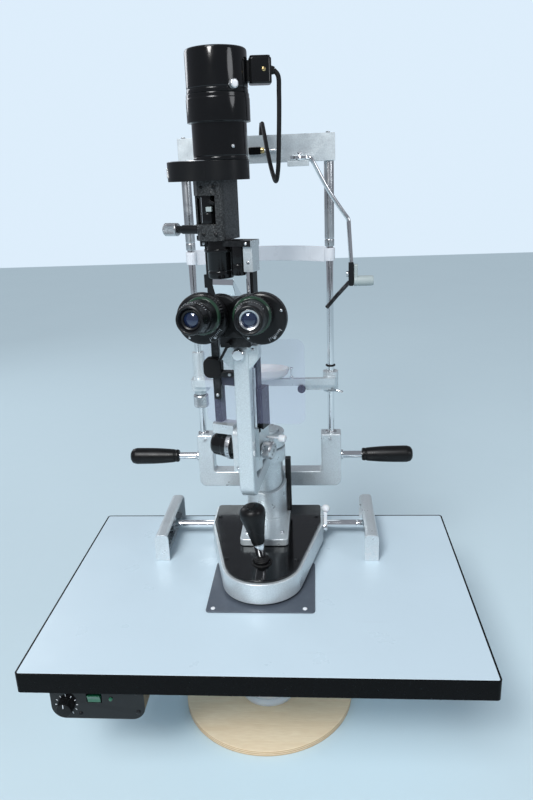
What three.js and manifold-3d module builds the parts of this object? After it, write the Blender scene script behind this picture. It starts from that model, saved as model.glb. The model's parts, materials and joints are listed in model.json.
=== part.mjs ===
// Slit lamp on its instrument table top: a lamp tower and a stereo microscope that swing about one
// column, a cross-slide base, a chin and forehead rest, and the round stand that carries the table.
//
// Millimetres. +X is to the examiner's right, +Y runs from the examiner to the patient, +Z is up.
// The part's origin is the centre of the stand's underside. Everything above the table is laid out
// in the bench frame, whose origin is on the table top at the middle of its front edge.

import * as THREE from 'three';
import { mergeVertices } from 'three/addons/utils/BufferGeometryUtils.js';
import Module from 'manifold-3d';

const wasm = await Module();
wasm.setup();

// ---------------------------------------------------------------- driving dimensions

const GAP = 0.3; // clearance between pieces that touch on the real instrument
const TABLE = { width: 600, depth: 422, thickness: 28, band: 2, corner: 5 };
const STAND = { height: 216, centreY: 225, discRadius: 132, discThickness: 9, postRadius: 38 };
const AXLE = { y: 350, z: 22, radius: 6.5, reach: 172 };
const RAIL = { inner: 155, width: 22, length: 146, centreY: 341, height: 45, wall: 3 };
const GEAR = { module: 1.5, teeth: 16, width: 10, x: 166 };
const BASE = { bottom: 6, top: 38, halfWidth: 91, rearY: 384, cornerY: 320, noseY: 201, noseRadius: 60 };
const COLUMN = { y: 335, radius: 32.5, frontTop: 100, rearTop: 125 };
const LIFT = { radius: 27, bottom: 66, shoulder: 148.6, pinRadius: 22, top: 200 };
const HUB_BORE = LIFT.pinRadius + 0.4;
const JOYSTICK = { y: 195, z: 46, lean: 8 };
const HEADREST = { x: -4.5, y: 437.5, rodSpacing: 224, rodRadius: 5.8, sleeveRadius: 7.6 };
const ILLUMINATION = { swing: 20, radius: 100, tiltZ: 208 };
const MICROSCOPE = { swing: 6, limbFront: 158, limbDepth: 22, discFace: 195, opticsZ: 415 };
const PRISM = { halfSpacing: 37.5, radius: 32.3, eccentricX: 8.3, eccentricZ: 7, splay: 6, rise: 0.07 };

// ---------------------------------------------------------------- materials

const paint = (color, roughness, metalness) =>
  new THREE.MeshStandardMaterial({ color, roughness, metalness });
const silverPaint = paint(0xc2c7c6, 0.45, 0.5);
const hammerPaint = paint(0x4a4d4e, 0.5, 0.5);
const blackGloss = paint(0x0c0d0e, 0.18, 0.1);
const blackSatin = paint(0x17191a, 0.5, 0.1);
const blackRubber = paint(0x141414, 0.8, 0);
const chrome = paint(0xd8dadb, 0.12, 1);
const satinSteel = paint(0xaab0b3, 0.35, 0.9);
const whiteLaminate = paint(0xeef2f5, 0.4, 0);
const whitePlastic = paint(0xf2f2ee, 0.45, 0);
const slatePaint = paint(0x46505c, 0.55, 0.2);
const birch = paint(0xd9bd92, 0.6, 0);
const clearAcrylic = paint(0xdfe0f4, 0.1, 0);
const opticGreen = paint(0x1d2a22, 0.25, 0.2);

// ---------------------------------------------------------------- solids

/** A closed geometry as a solid that can be joined and cut. */
function solid(geometry) {
  const bare = geometry.clone();
  bare.deleteAttribute('normal');
  bare.deleteAttribute('uv');
  const merged = mergeVertices(bare, 1e-4);
  return new wasm.Manifold(
    new wasm.Mesh({
      numProp: 3,
      vertProperties: new Float32Array(merged.attributes.position.array),
      triVerts: new Uint32Array(merged.index.array),
    }),
  );
}

const join = (first, ...others) => others.reduce((whole, piece) => whole.add(piece), first);
const cut = (first, ...others) => others.reduce((whole, piece) => whole.subtract(piece), first);

/** A box given by its two corners. */
function box(x0, x1, y0, y1, z0, z1) {
  const geometry = new THREE.BoxGeometry(x1 - x0, y1 - y0, z1 - z0);
  geometry.translate((x0 + x1) / 2, (y0 + y1) / 2, (z0 + z1) / 2);
  return solid(geometry);
}

/** Turns a geometry made along Z so that its Z runs along `direction`, and moves it to `at`. */
function along(geometry, at, direction) {
  const turn = new THREE.Quaternion().setFromUnitVectors(
    new THREE.Vector3(0, 0, 1),
    new THREE.Vector3(...direction).normalize(),
  );
  geometry.applyQuaternion(turn);
  geometry.translate(...at);
  return solid(geometry);
}

/** A solid of revolution: `profile` holds [radius, height] pairs that start and end on the axis. */
function turned(profile, at = [0, 0, 0], direction = [0, 0, 1], sides = 24) {
  const points = profile.map(([radius, height]) => new THREE.Vector2(radius, height));
  const geometry = new THREE.LatheGeometry(points, sides);
  geometry.rotateX(Math.PI / 2);
  return along(geometry, at, direction);
}

/** A round bar or disc of `length` that starts at `at` and runs along `direction`. */
const rod = (radius, length, at, direction = [0, 0, 1], sides = 24) =>
  turned([[0, 0], [radius, 0], [radius, length], [0, length]], at, direction, sides);

/** A round bar between two points. */
function strut(from, to, radius, sides = 16) {
  const direction = to.map((value, i) => value - from[i]);
  return rod(radius, Math.hypot(...direction), from, direction, sides);
}

/** A rectangle with rounded corners, centred on x, y. */
function roundedRectangle(width, height, radius, x = 0, y = 0) {
  const [w, h] = [width / 2, height / 2];
  const shape = new THREE.Shape();
  shape.moveTo(x - w + radius, y - h);
  shape.lineTo(x + w - radius, y - h);
  shape.absarc(x + w - radius, y - h + radius, radius, -Math.PI / 2, 0);
  shape.lineTo(x + w, y + h - radius);
  shape.absarc(x + w - radius, y + h - radius, radius, 0, Math.PI / 2);
  shape.lineTo(x - w + radius, y + h);
  shape.absarc(x - w + radius, y + h - radius, radius, Math.PI / 2, Math.PI);
  shape.lineTo(x - w, y - h + radius);
  shape.absarc(x - w + radius, y - h + radius, radius, Math.PI, 1.5 * Math.PI);
  return shape;
}

const polygon = (points) => new THREE.Shape(points.map(([x, y]) => new THREE.Vector2(x, y)));

/** A shape in the XY plane pulled up from z0 to z1. */
function slab(shape, z0, z1, curveSegments = 4) {
  const geometry = new THREE.ExtrudeGeometry(shape, {
    depth: z1 - z0,
    bevelEnabled: false,
    curveSegments,
  });
  geometry.translate(0, 0, z0);
  return solid(geometry);
}

/** A shape drawn in the YZ plane, pulled along X from x0 to x1. */
function sideSlab(shape, x0, x1, curveSegments = 4) {
  const geometry = new THREE.ExtrudeGeometry(shape, {
    depth: x1 - x0,
    bevelEnabled: false,
    curveSegments,
  });
  geometry.rotateX(Math.PI / 2);
  geometry.rotateZ(Math.PI / 2);
  geometry.translate(x0, 0, 0);
  return solid(geometry);
}

/** A shape drawn in the XZ plane, pulled along Y from y0 to y1. */
function frontSlab(shape, y0, y1, curveSegments = 4) {
  const geometry = new THREE.ExtrudeGeometry(shape, {
    depth: y1 - y0,
    bevelEnabled: false,
    curveSegments,
  });
  geometry.rotateX(Math.PI / 2);
  geometry.translate(0, y1, 0);
  return solid(geometry);
}

/** A round tube along a smooth curve through `points`. */
function tube(points, radius, sides, steps) {
  const path = new THREE.CatmullRomCurve3(points.map((point) => new THREE.Vector3(...point)));
  const ring = [];
  for (let i = 0; i < sides; i += 1) {
    const angle = (2 * Math.PI * i) / sides;
    ring.push([radius * Math.cos(angle), radius * Math.sin(angle)]);
  }
  const geometry = new THREE.ExtrudeGeometry(polygon(ring), {
    extrudePath: path,
    steps,
    bevelEnabled: false,
  });
  return solid(geometry);
}

// ---------------------------------------------------------------- scene graph

const part = new THREE.Group();

const bench = new THREE.Group();
bench.position.set(0, -STAND.centreY, STAND.height);
part.add(bench);

const microscopeSide = new THREE.Group();
microscopeSide.position.set(0, COLUMN.y, 0);
microscopeSide.rotation.z = THREE.MathUtils.degToRad(-MICROSCOPE.swing);
bench.add(microscopeSide);

const illuminationSide = new THREE.Group();
illuminationSide.position.set(0, COLUMN.y, 0);
illuminationSide.rotation.z = THREE.MathUtils.degToRad(-ILLUMINATION.swing);
bench.add(illuminationSide);

/** Adds a solid to a group as the mesh `name`. */
function addPiece(group, name, body, material) {
  const { numProp, vertProperties, triVerts } = body.getMesh();
  const positions = new Float32Array((vertProperties.length / numProp) * 3);
  for (let i = 0; i * numProp < vertProperties.length; i += 1) {
    positions.set(vertProperties.subarray(i * numProp, i * numProp + 3), i * 3);
  }
  const geometry = new THREE.BufferGeometry();
  geometry.setAttribute('position', new THREE.BufferAttribute(positions, 3));
  geometry.setIndex(new THREE.BufferAttribute(new Uint32Array(triVerts), 1));
  geometry.computeVertexNormals();
  const mesh = new THREE.Mesh(geometry, material);
  mesh.name = name;
  group.add(mesh);
}

const SIDES = [
  ['left', -1],
  ['right', 1],
];

// ---------------------------------------------------------------- stand and table

function buildStand() {
  const floor = -STAND.height;
  const underside = -TABLE.thickness;
  const discTop = floor + STAND.discThickness;
  const disc = rod(STAND.discRadius, STAND.discThickness, [0, STAND.centreY, floor], [0, 0, 1], 36);
  addPiece(bench, 'pedestal_disc', disc, birch);

  const flangeRadius = 75;
  const flangeThickness = 6;
  const height = underside - discTop - 2 * GAP;
  const post = turned(
    [
      [0, 0],
      [STAND.postRadius, 0],
      [STAND.postRadius, height - flangeThickness],
      [flangeRadius, height - flangeThickness],
      [flangeRadius, height],
      [0, height],
    ],
    [0, STAND.centreY, discTop + GAP],
    [0, 0, 1],
    24,
  );
  addPiece(bench, 'pedestal_post', post, whitePlastic);

  const outline = (inset, corner) =>
    roundedRectangle(TABLE.width - 2 * inset, TABLE.depth - 2 * inset, corner, 0, TABLE.depth / 2);
  const ring = outline(0, TABLE.corner);
  ring.holes.push(outline(TABLE.band, TABLE.corner - TABLE.band));
  addPiece(bench, 'table_edge_band', slab(ring, underside, 0, 4), blackSatin);
  const top = slab(outline(TABLE.band + GAP, TABLE.corner - TABLE.band - GAP), underside, 0, 4);
  addPiece(bench, 'table_top', top, whiteLaminate);
}

function buildPowerSupply() {
  const [left, right] = [-264, -141];
  const [front, back] = [12, 112];
  const top = -TABLE.thickness - GAP;
  const height = 50;
  const corner = 18;
  const profile = roundedRectangle(
    right - left,
    2 * height,
    corner,
    (left + right) / 2,
    top,
  );
  const knobAt = { x: -243, z: -56 };
  const switchAt = { x: -206, z: -46 };
  const shaftLength = 9;
  const keep = box(left - 1, right + 1, front - 1, back + 1, top - height - 1, top);
  const knobBore = rod(3.4, shaftLength + 2, [knobAt.x, front - 1, knobAt.z], [0, 1, 0], 14);
  const pocket = box(
    switchAt.x - 9.5,
    switchAt.x + 9.5,
    front - 1,
    front + 9,
    switchAt.z - 6.5,
    switchAt.z + 6.5,
  );
  const shell = cut(frontSlab(profile, front, back, 5).intersect(keep), knobBore, pocket);
  addPiece(bench, 'power_supply_case', shell, blackGloss);

  const knob = turned(
    [
      [0, -shaftLength],
      [3, -shaftLength],
      [3, GAP],
      [11, GAP],
      [10, 12],
      [0, 12],
    ],
    [knobAt.x, front, knobAt.z],
    [0, -1, 0],
    18,
  );
  addPiece(bench, 'dimmer_knob', knob, blackSatin);

  const rocker = polygon([
    [front - 3, switchAt.z + 5.5],
    [front + 6, switchAt.z + 4.5],
    [front + 6, switchAt.z - 4.5],
    [front - 0.5, switchAt.z - 5.5],
    [front - 1, switchAt.z],
  ]);
  addPiece(bench, 'power_switch', sideSlab(rocker, switchAt.x - 8.5, switchAt.x + 8.5), opticGreen);
}

// ---------------------------------------------------------------- rails, axle and pinions

/** The outline of one rack tooth side after another, along Y, above a flat back at `z0`. */
function rackOutline(y0, y1, z0, pitchZ) {
  const pitch = Math.PI * GEAR.module;
  const [tipHalf, rootHalf] = [0.14 * pitch, 0.3 * pitch];
  const points = [[y0, z0]];
  const rootZ = pitchZ - 1.15 * GEAR.module;
  const tipZ = pitchZ + 0.45 * GEAR.module;
  // A rack gap lies under the axle, where the pinion's lowest tooth points down.
  const first = Math.ceil((y0 + rootHalf - AXLE.y) / pitch - 0.5);
  const last = Math.floor((y1 - rootHalf - AXLE.y) / pitch - 0.5);
  points.push([y0, rootZ]);
  for (let i = first; i <= last; i += 1) {
    const y = AXLE.y + (i + 0.5) * pitch;
    points.push([y - rootHalf, rootZ], [y - tipHalf, tipZ], [y + tipHalf, tipZ], [y + rootHalf, rootZ]);
  }
  points.push([y1, rootZ], [y1, z0]);
  return polygon(points.reverse());
}

/** A pinion's outline about its own axis, with one tooth pointing straight down. */
function pinionOutline() {
  const pitchRadius = (GEAR.module * GEAR.teeth) / 2;
  const tipRadius = pitchRadius + 0.55 * GEAR.module;
  const rootRadius = pitchRadius - 0.9 * GEAR.module;
  const step = (2 * Math.PI) / GEAR.teeth;
  const points = [];
  for (let i = 0; i < GEAR.teeth; i += 1) {
    const centre = -Math.PI / 2 + i * step;
    const corners = [
      [rootRadius, -0.27],
      [tipRadius, -0.12],
      [tipRadius, 0.12],
      [rootRadius, 0.27],
    ];
    corners.forEach(([radius, share]) => {
      const angle = centre + share * step;
      points.push([radius * Math.cos(angle), radius * Math.sin(angle)]);
    });
  }
  return polygon(points);
}

function buildRails() {
  const pitchZ = AXLE.z - (GEAR.module * GEAR.teeth) / 2;
  const y0 = RAIL.centreY - RAIL.length / 2;
  const y1 = RAIL.centreY + RAIL.length / 2;
  const outer = RAIL.inner + RAIL.width;
  const corner = 7;
  SIDES.forEach(([side, sign]) => {
    const middle = sign * (RAIL.inner + RAIL.width / 2);
    const profile = roundedRectangle(RAIL.width, 2 * RAIL.height, corner, middle, 0);
    const hollow = (inner, outerFace) => (sign > 0 ? [inner, outerFace] : [-outerFace, -inner]);
    const above = box(-outer - 1, outer + 1, y0 - 1, y1 + 1, GAP, RAIL.height + 1);
    const room = box(
      ...hollow(RAIL.inner - 1, outer - RAIL.wall),
      y0 + RAIL.wall,
      y1 - RAIL.wall,
      0,
      RAIL.height - RAIL.wall,
    );
    const cover = frontSlab(profile, y0, y1).intersect(above).subtract(room);
    addPiece(bench, `rail_cover_${side}`, cover, silverPaint);

    const rackEnd = RAIL.wall + GAP + 0.2;
    const outline = rackOutline(y0 + rackEnd, y1 - rackEnd, GAP, pitchZ);
    const half = GEAR.width / 2 + 0.5;
    const rack = sideSlab(outline, sign * GEAR.x - half, sign * GEAR.x + half);
    addPiece(bench, `rack_${side}`, rack, satinSteel);
  });
}

function buildAxle() {
  const start = [-AXLE.reach, AXLE.y, AXLE.z];
  const bar = rod(AXLE.radius, 2 * AXLE.reach, start, [1, 0, 0], 24);
  addPiece(bench, 'axle', bar, chrome);
  SIDES.forEach(([side, sign]) => {
    const half = GEAR.width / 2;
    const blank = sideSlab(pinionOutline(), -half, half);
    const bore = rod(AXLE.radius + GAP, GEAR.width + 2, [-half - 1, 0, 0], [1, 0, 0], 24);
    const pinion = cut(blank, bore).translate([sign * GEAR.x, AXLE.y, AXLE.z]);
    addPiece(bench, `pinion_${side}`, pinion, satinSteel);
  });
}

// ---------------------------------------------------------------- cross-slide base

/** The base's outline seen from above: square at the back, tapering to a round nose. */
function baseOutline(inset) {
  const shape = new THREE.Shape();
  const half = BASE.halfWidth - inset;
  const noseRadius = BASE.noseRadius - inset;
  const rearCorner = 5;
  const flankX = BASE.halfWidth - BASE.noseRadius;
  const flankY = BASE.cornerY - BASE.noseY;
  const taper = Math.asin(flankX / Math.hypot(flankX, flankY));
  shape.moveTo(-half + rearCorner, BASE.rearY - inset);
  shape.lineTo(-half, BASE.rearY - inset - rearCorner);
  shape.lineTo(-half, BASE.cornerY);
  shape.absarc(0, BASE.noseY, noseRadius, Math.PI + taper, 2 * Math.PI - taper);
  shape.lineTo(half, BASE.cornerY);
  shape.lineTo(half, BASE.rearY - inset - rearCorner);
  shape.lineTo(half - rearCorner, BASE.rearY - inset);
  return shape;
}

function buildBase() {
  const wall = 6;
  const roof = 5;
  const coverThickness = 4;
  const plate = { x: 77, front: 130, back: 259, thickness: 2 };
  const plateOutline = roundedRectangle(
    2 * plate.x,
    plate.back - plate.front,
    5,
    0,
    (plate.front + plate.back) / 2,
  );
  addPiece(bench, 'slide_plate', slab(plateOutline, GAP, GAP + plate.thickness, 4), slatePaint);

  const shell = slab(baseOutline(0), BASE.bottom, BASE.top, 14);
  const cavity = slab(baseOutline(wall), BASE.bottom - 1, BASE.top - roof, 10);
  const footBottom = 2 * GAP + plate.thickness;
  const foot = rod(9, BASE.top - 2 - footBottom, [0, JOYSTICK.y + 30, footBottom], [0, 0, 1], 14);
  const axleBore = rod(AXLE.radius + 0.5, 240, [-120, AXLE.y, AXLE.z], [1, 0, 0], 24);
  const socket = rod(14, 20, [0, JOYSTICK.y, BASE.top - roof - 2], [0, 0, 1], 20);
  const leverBore = rod(4.4, 40, [BASE.halfWidth - 20, 325, 30], [1, 0, 0], 14);
  addPiece(bench, 'base_casting', cut(join(cut(shell, cavity), foot), axleBore, socket, leverBore), silverPaint);

  const coverZ = BASE.top + GAP;
  const cover = cut(
    slab(baseOutline(4), coverZ, coverZ + coverThickness, 14),
    rod(14, 20, [0, JOYSTICK.y, BASE.top - 2], [0, 0, 1], 20),
  );
  addPiece(bench, 'base_cover', cover, blackGloss);

  const hub = { x: BASE.halfWidth + GAP, y: 325, z: 30 };
  const lever = join(
    rod(4, 10, [hub.x - 8, hub.y, hub.z], [1, 0, 0], 14),
    rod(7, 6, [hub.x, hub.y, hub.z], [1, 0, 0], 14),
    box(hub.x + 0.5, hub.x + 6.5, hub.y - 4.5, hub.y + 4.5, hub.z - 6, hub.z + 28),
    turned([[0, -7], [4, -6], [6.5, 0], [4, 6], [0, 7]], [hub.x + 4.5, hub.y, hub.z + 33], [0, 0, 1], 14),
  );
  addPiece(bench, 'lock_lever', lever, whitePlastic);
}

function buildColumn() {
  const plateZ = BASE.top + 4 + 2 * GAP;
  const plateTop = 54;
  const plate = slab(roundedRectangle(74, 138, 7, 0, 309), plateZ, plateTop);
  const body = rod(COLUMN.radius, 100, [0, COLUMN.y, plateTop - 1], [0, 0, 1], 36);
  const slope = Math.atan2(COLUMN.rearTop - COLUMN.frontTop, 2 * COLUMN.radius);
  const lidHeight = 80;
  const lid = new THREE.BoxGeometry(120, 160, lidHeight);
  lid.translate(0, 0, lidHeight / 2);
  lid.rotateX(slope);
  lid.translate(0, COLUMN.y, (COLUMN.frontTop + COLUMN.rearTop) / 2);
  const bore = rod(LIFT.radius + 0.4, 100, [0, COLUMN.y, LIFT.bottom - 2], [0, 0, 1], 26);
  const column = cut(join(plate, body), solid(lid), bore);
  addPiece(bench, 'column', column, silverPaint);

  const shoulder = LIFT.shoulder - LIFT.bottom;
  const height = LIFT.top - LIFT.bottom;
  const lift = turned(
    [
      [0, 0],
      [LIFT.radius, 0],
      [LIFT.radius, shoulder],
      [LIFT.pinRadius, shoulder],
      [LIFT.pinRadius, height],
      [0, height],
    ],
    [0, COLUMN.y, LIFT.bottom],
    [0, 0, 1],
    26,
  );
  addPiece(bench, 'lift_tube', lift, silverPaint);
}

function buildJoystick() {
  const lean = THREE.MathUtils.degToRad(JOYSTICK.lean);
  const axis = [-Math.sin(lean), 0, Math.cos(lean)];
  const at = [0, JOYSTICK.y, JOYSTICK.z];
  const up = (height) => axis.map((value, i) => at[i] + value * height);
  const ball = turned(
    [[0, -9], [6, -8], [10, -4], [11.5, 1], [9, 4], [5.2, 6], [0, 6]],
    at,
    axis,
    20,
  );
  addPiece(bench, 'joystick_ball', ball, blackRubber);
  const stem = turned(
    [[0, 0], [5, 0], [5, 2], [8, 16], [8, 20], [4, 20], [4, 54], [0, 54]],
    up(7.6),
    axis,
    18,
  );
  addPiece(bench, 'joystick_stem', stem, chrome);
  const grip = turned(
    [
      [4.3, 0],
      [9, 0],
      [15.5, 36],
      [18.5, 47],
      [17.5, 54],
      [11, 60],
      [0, 62],
      [0, 40],
      [4.3, 40],
      [4.3, 0],
    ],
    up(28),
    axis,
    24,
  );
  addPiece(bench, 'joystick_grip', grip, blackRubber);
}

// ---------------------------------------------------------------- chin and forehead rest

function buildHeadrest() {
  const { x: centreX, y, rodSpacing } = HEADREST;
  const frameSpan = [-126.5, 124.5];
  const windowSpan = [-99, 90];
  const [bottom, crossbarTop, top] = [57, 85, 154];
  const [front, back] = [y - 14, y + 14];
  const corner = 13;
  const spanned = ([x0, x1], depth, radius) =>
    roundedRectangle(x1 - x0, 2 * depth, radius, (x0 + x1) / 2, top);
  const outer = spanned(frameSpan, top - bottom, corner);
  const window = spanned(windowSpan, top - crossbarTop, 4);
  const keep = box(-200, 200, front - 1, back + 1, bottom - 1, top);
  const sockets = SIDES.map(([, sign]) =>
    rod(HEADREST.rodRadius + GAP, 60, [centreX + (sign * rodSpacing) / 2, y, top - 30], [0, 0, 1], 18),
  );
  const frame = cut(
    frontSlab(outer, front, back).intersect(keep),
    frontSlab(window, front - 1, back + 1),
    ...sockets,
  );
  addPiece(bench, 'headrest_frame', frame, silverPaint);

  const underside = -TABLE.thickness;
  const hook = polygon([
    [back, bottom - GAP],
    [front + 4, bottom - GAP],
    [front + 4, 8],
    [TABLE.depth + GAP, 0],
    [TABLE.depth + GAP, underside - GAP],
    [TABLE.depth - 60, underside - GAP],
    [TABLE.depth - 60, underside - 9],
    [back - 16, underside - 9],
    [back - 16, 40],
    [back, 46],
  ]);
  addPiece(bench, 'headrest_bracket', sideSlab(hook, centreX - 28, centreX + 28), silverPaint);

  const sleeveBottom = 471;
  const rodTop = 599.7;
  const barFront = y - 13;
  SIDES.forEach(([side, sign]) => {
    const x = centreX + (sign * rodSpacing) / 2;
    const rodBottom = top - 30 + GAP;
    const post = turned(
      [
        [0, 0],
        [HEADREST.rodRadius, 0],
        [HEADREST.rodRadius, sleeveBottom - rodBottom],
        [HEADREST.sleeveRadius, sleeveBottom - rodBottom],
        [HEADREST.sleeveRadius, rodTop - rodBottom],
        [0, rodTop - rodBottom],
      ],
      [x, y, rodBottom],
      [0, 0, 1],
      18,
    );
    addPiece(bench, `headrest_rod_${side}`, post, chrome);

    const start = sign < 0 ? frameSpan[0] - GAP : frameSpan[1] + GAP;
    const gripStart = 36;
    const gripLength = 88;
    const handle = turned(
      [
        [0, 0],
        [6, 0],
        [6, gripStart],
        [11, gripStart],
        [13.5, gripStart + 30],
        [14.5, gripStart + gripLength - 8],
        [12, gripStart + gripLength],
        [0, gripStart + gripLength],
      ],
      [start, y, 111],
      [sign, 0, 0],
      20,
    );
    addPiece(bench, `handle_${side}`, handle, blackSatin);
  });

  const jackBore = rod(5.4, 12, [-5, barFront - 1, 618], [0, 1, 0], 14);
  const bar = join(
    box(-124, 117, barFront, y + 14, 600, 640),
    box(45, 77, barFront - 28, barFront + 4, 593.3, 601),
  );
  addPiece(bench, 'headrest_top_bar', cut(bar, jackBore), silverPaint);

  const reach = rodSpacing / 2 - HEADREST.rodRadius - 1;
  const bulge = 40;
  const bandShape = new THREE.Shape();
  const thickness = 2;
  bandShape.moveTo(-reach, 0);
  bandShape.quadraticCurveTo(0, 2 * bulge, reach, 0);
  bandShape.lineTo(reach, thickness);
  bandShape.quadraticCurveTo(0, 2 * (bulge + thickness / 2), -reach, thickness);
  const bandZ = [446, 470.5];
  const band = slab(bandShape, ...bandZ, 10).translate([centreX, y, 0]);
  addPiece(bench, 'forehead_band', band, whitePlastic);
}

function buildChinRest() {
  const { x: centreX, y, rodSpacing, rodRadius } = HEADREST;
  const [leftX, rightX] = [centreX - rodSpacing / 2, centreX + rodSpacing / 2];
  const bore = (x) => rod(rodRadius + 0.5, 200, [x, y, 180], [0, 0, 1], 18);
  const carrier = join(
    rod(10.5, 73, [leftX, y, 228], [0, 0, 1], 18),
    slab(roundedRectangle(30, 34, 5, leftX + 2, y - 2), 237, 256, 3),
    box(leftX, rightX, y - 26, y - 18, 246, 258),
    slab(roundedRectangle(20, 34, 5, leftX + 2, y - 9), 246, 258, 3),
    slab(roundedRectangle(20, 34, 5, rightX - 2, y - 9), 246, 258, 3),
    rod(13, 34, [rightX, y, 230], [0, 0, 1], 18),
    box(rightX - 44, rightX, y - 18, y - 4, 236, 247),
  );
  addPiece(bench, 'chin_carrier', cut(carrier, bore(leftX), bore(rightX)), silverPaint);

  const trayTop = 275;
  const tray = turned([[0, 0], [30, 0], [40, 6], [43, 16], [39, 16], [34, 9], [0, 5]], [0, 0, 0], [0, 0, 1], 24);
  const cup = tray.scale([1, 0.62, 1]).translate([centreX, y - 16, trayTop - 16.4]);
  addPiece(bench, 'chin_cup', cup, whitePlastic);

  const ring = cut(
    turned([[0, 0], [11.5, 0], [13, 3], [13, 19], [11.5, 22], [0, 22]], [leftX, y, 204], [0, 0, 1], 20),
    bore(leftX),
  );
  addPiece(bench, 'chin_height_ring', ring, satinSteel);
}

function buildFixationLamp() {
  const swivel = { x: 63.5, y: HEADREST.y - 28, z: 601 };
  const elbow = [136, 403, 514];
  const foot = [140, 400, 449];
  const arm = join(
    turned([[0, GAP], [14, GAP], [14.5, 3], [14, 7], [8, 9], [0, 9]], [swivel.x, swivel.y, swivel.z], [0, 0, 1], 20),
    strut([swivel.x + 8, swivel.y - 3, swivel.z + 5], [swivel.x + 17, swivel.y - 8, swivel.z + 3], 3.2, 12),
    strut([swivel.x + 17, swivel.y - 8, swivel.z + 3], elbow, 3.2, 12),
    strut(elbow, foot, 3.2, 12),
    turned([[0, -3.2], [2.8, -1.6], [3.2, 0], [2.8, 1.6], [0, 3.2]], elbow, [0, 0, 1], 10),
    box(foot[0] - 4, foot[0] + 4, foot[1] - 5, foot[1] + 5, 413, 449.5),
    strut([foot[0] - 3, foot[1], 418], [102, 417, 376], 3.4, 8),
  );
  addPiece(bench, 'fixation_arm', arm, silverPaint);

  const lamp = join(
    box(foot[0] + 4.5, foot[0] + 10, foot[1] - 6, foot[1] + 6, 420, 446),
    rod(8, 30, [foot[0] + 4.5, foot[1] - 1, 420], [1, 0, 0], 14),
  );
  addPiece(bench, 'fixation_lamp', lamp, slatePaint);
}

// ---------------------------------------------------------------- microscope
// In the microscope's frame the column axis is x = y = 0 and the eyepieces point along -Y.

function buildMicroscopeArm() {
  const front = -MICROSCOPE.limbFront;
  const rear = front + MICROSCOPE.limbDepth;
  const [hubBottom, hubTop] = [149, 171];
  const headTop = 374;
  const profile = new THREE.Shape();
  profile.moveTo(-20, hubBottom);
  profile.lineTo(-20, hubTop);
  profile.lineTo(rear + 18, hubTop);
  profile.absarc(rear + 18, hubTop + 18, 18, -Math.PI / 2, -Math.PI, true);
  profile.lineTo(rear, headTop);
  profile.lineTo(front + 4, headTop);
  profile.lineTo(front, headTop - 4);
  profile.lineTo(front, hubBottom + 26);
  profile.absarc(front + 26, hubBottom + 26, 26, Math.PI, 1.5 * Math.PI);
  const halfLimb = 10.5;
  const limbX = 2;
  const limb = sideSlab(profile, limbX - halfLimb, limbX + halfLimb);
  const head = frontSlab(
    polygon([
      [limbX - halfLimb, 338],
      [limbX + halfLimb, 338],
      [26, 355],
      [26, headTop],
      [-26, headTop],
      [-26, 355],
    ]),
    front + 2,
    rear,
  );
  const screwBore = rod(3.4, MICROSCOPE.limbDepth + 4, [0, front - 1, 362], [0, 1, 0], 14);
  const hub = rod(32, hubTop - hubBottom, [0, 0, hubBottom], [0, 0, 1], 28);
  const bore = rod(HUB_BORE, 40, [0, 0, hubBottom - 5], [0, 0, 1], 26);
  addPiece(microscopeSide, 'microscope_arm', cut(join(limb, head, hub), bore, screwBore), silverPaint);

  const screw = turned(
    [[0, -16], [3, -16], [3, GAP], [8, GAP], [8, 7], [6.5, 8.5], [0, 8.5]],
    [0, front, 362],
    [0, -1, 0],
    18,
  );
  addPiece(microscopeSide, 'arm_clamp_screw', screw, chrome);
}

function buildMicroscopeBody() {
  const { discFace, opticsZ } = MICROSCOPE;
  const back = -134;
  const bodyFront = -(discFace - 15);
  const saddleBottom = 374.5;
  const tubes = SIDES.map(([, sign]) =>
    turned(
      [[0, 0], [19, 0], [27, 28], [27, back - bodyFront], [0, back - bodyFront]],
      [sign * 19, back, opticsZ],
      [0, -1, 0],
      24,
    ),
  );
  const body = join(
    tubes[0],
    tubes[1],
    frontSlab(roundedRectangle(44, 46, 12, 0, opticsZ - 4), bodyFront, back),
    box(-20, 20, bodyFront + 4, back - 2, saddleBottom, opticsZ),
    rod(6, 6, [12, back + 5, 396], [0, -1, 0], 12),
  );
  addPiece(microscopeSide, 'microscope_body', body, blackSatin);

  SIDES.forEach(([side, sign]) => {
    const centre = [sign * PRISM.halfSpacing, -discFace, opticsZ];
    const housing = turned(
      [[0, 0], [PRISM.radius - 2, 0], [PRISM.radius, 2], [PRISM.radius, 12.5], [PRISM.radius - 3, 14.5], [0, 14.5]],
      centre,
      [0, 1, 0],
      32,
    );
    addPiece(microscopeSide, `prism_housing_${side}`, housing, blackSatin);

    const splay = THREE.MathUtils.degToRad(PRISM.splay);
    const eye = [centre[0] - sign * PRISM.eccentricX, centre[1] - 3.4, opticsZ + PRISM.eccentricZ];
    const eyepiece = turned(
      [
        [0, 0],
        [23, 0],
        [24, 4],
        [24, 14],
        [20, 20],
        [19, 40],
        [18, 48],
        [17.5, 56],
        [14, 57.5],
        [13, 54],
        [0, 52],
      ],
      eye,
      [sign * Math.sin(splay), -Math.cos(splay), PRISM.rise],
      24,
    );
    addPiece(microscopeSide, `eyepiece_${side}`, eyepiece, blackSatin);
  });

  const pivot = [-6, -(discFace - 8), 382];
  const lever = join(
    rod(3.6, 14, [pivot[0], bodyFront - GAP, pivot[2]], [0, -1, 0], 12),
    strut([pivot[0], pivot[1] - 3, pivot[2]], [pivot[0] - 12, pivot[1] - 3, pivot[2] - 21], 1.8, 8),
  );
  addPiece(microscopeSide, 'magnification_lever', lever, blackSatin);
}

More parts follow.
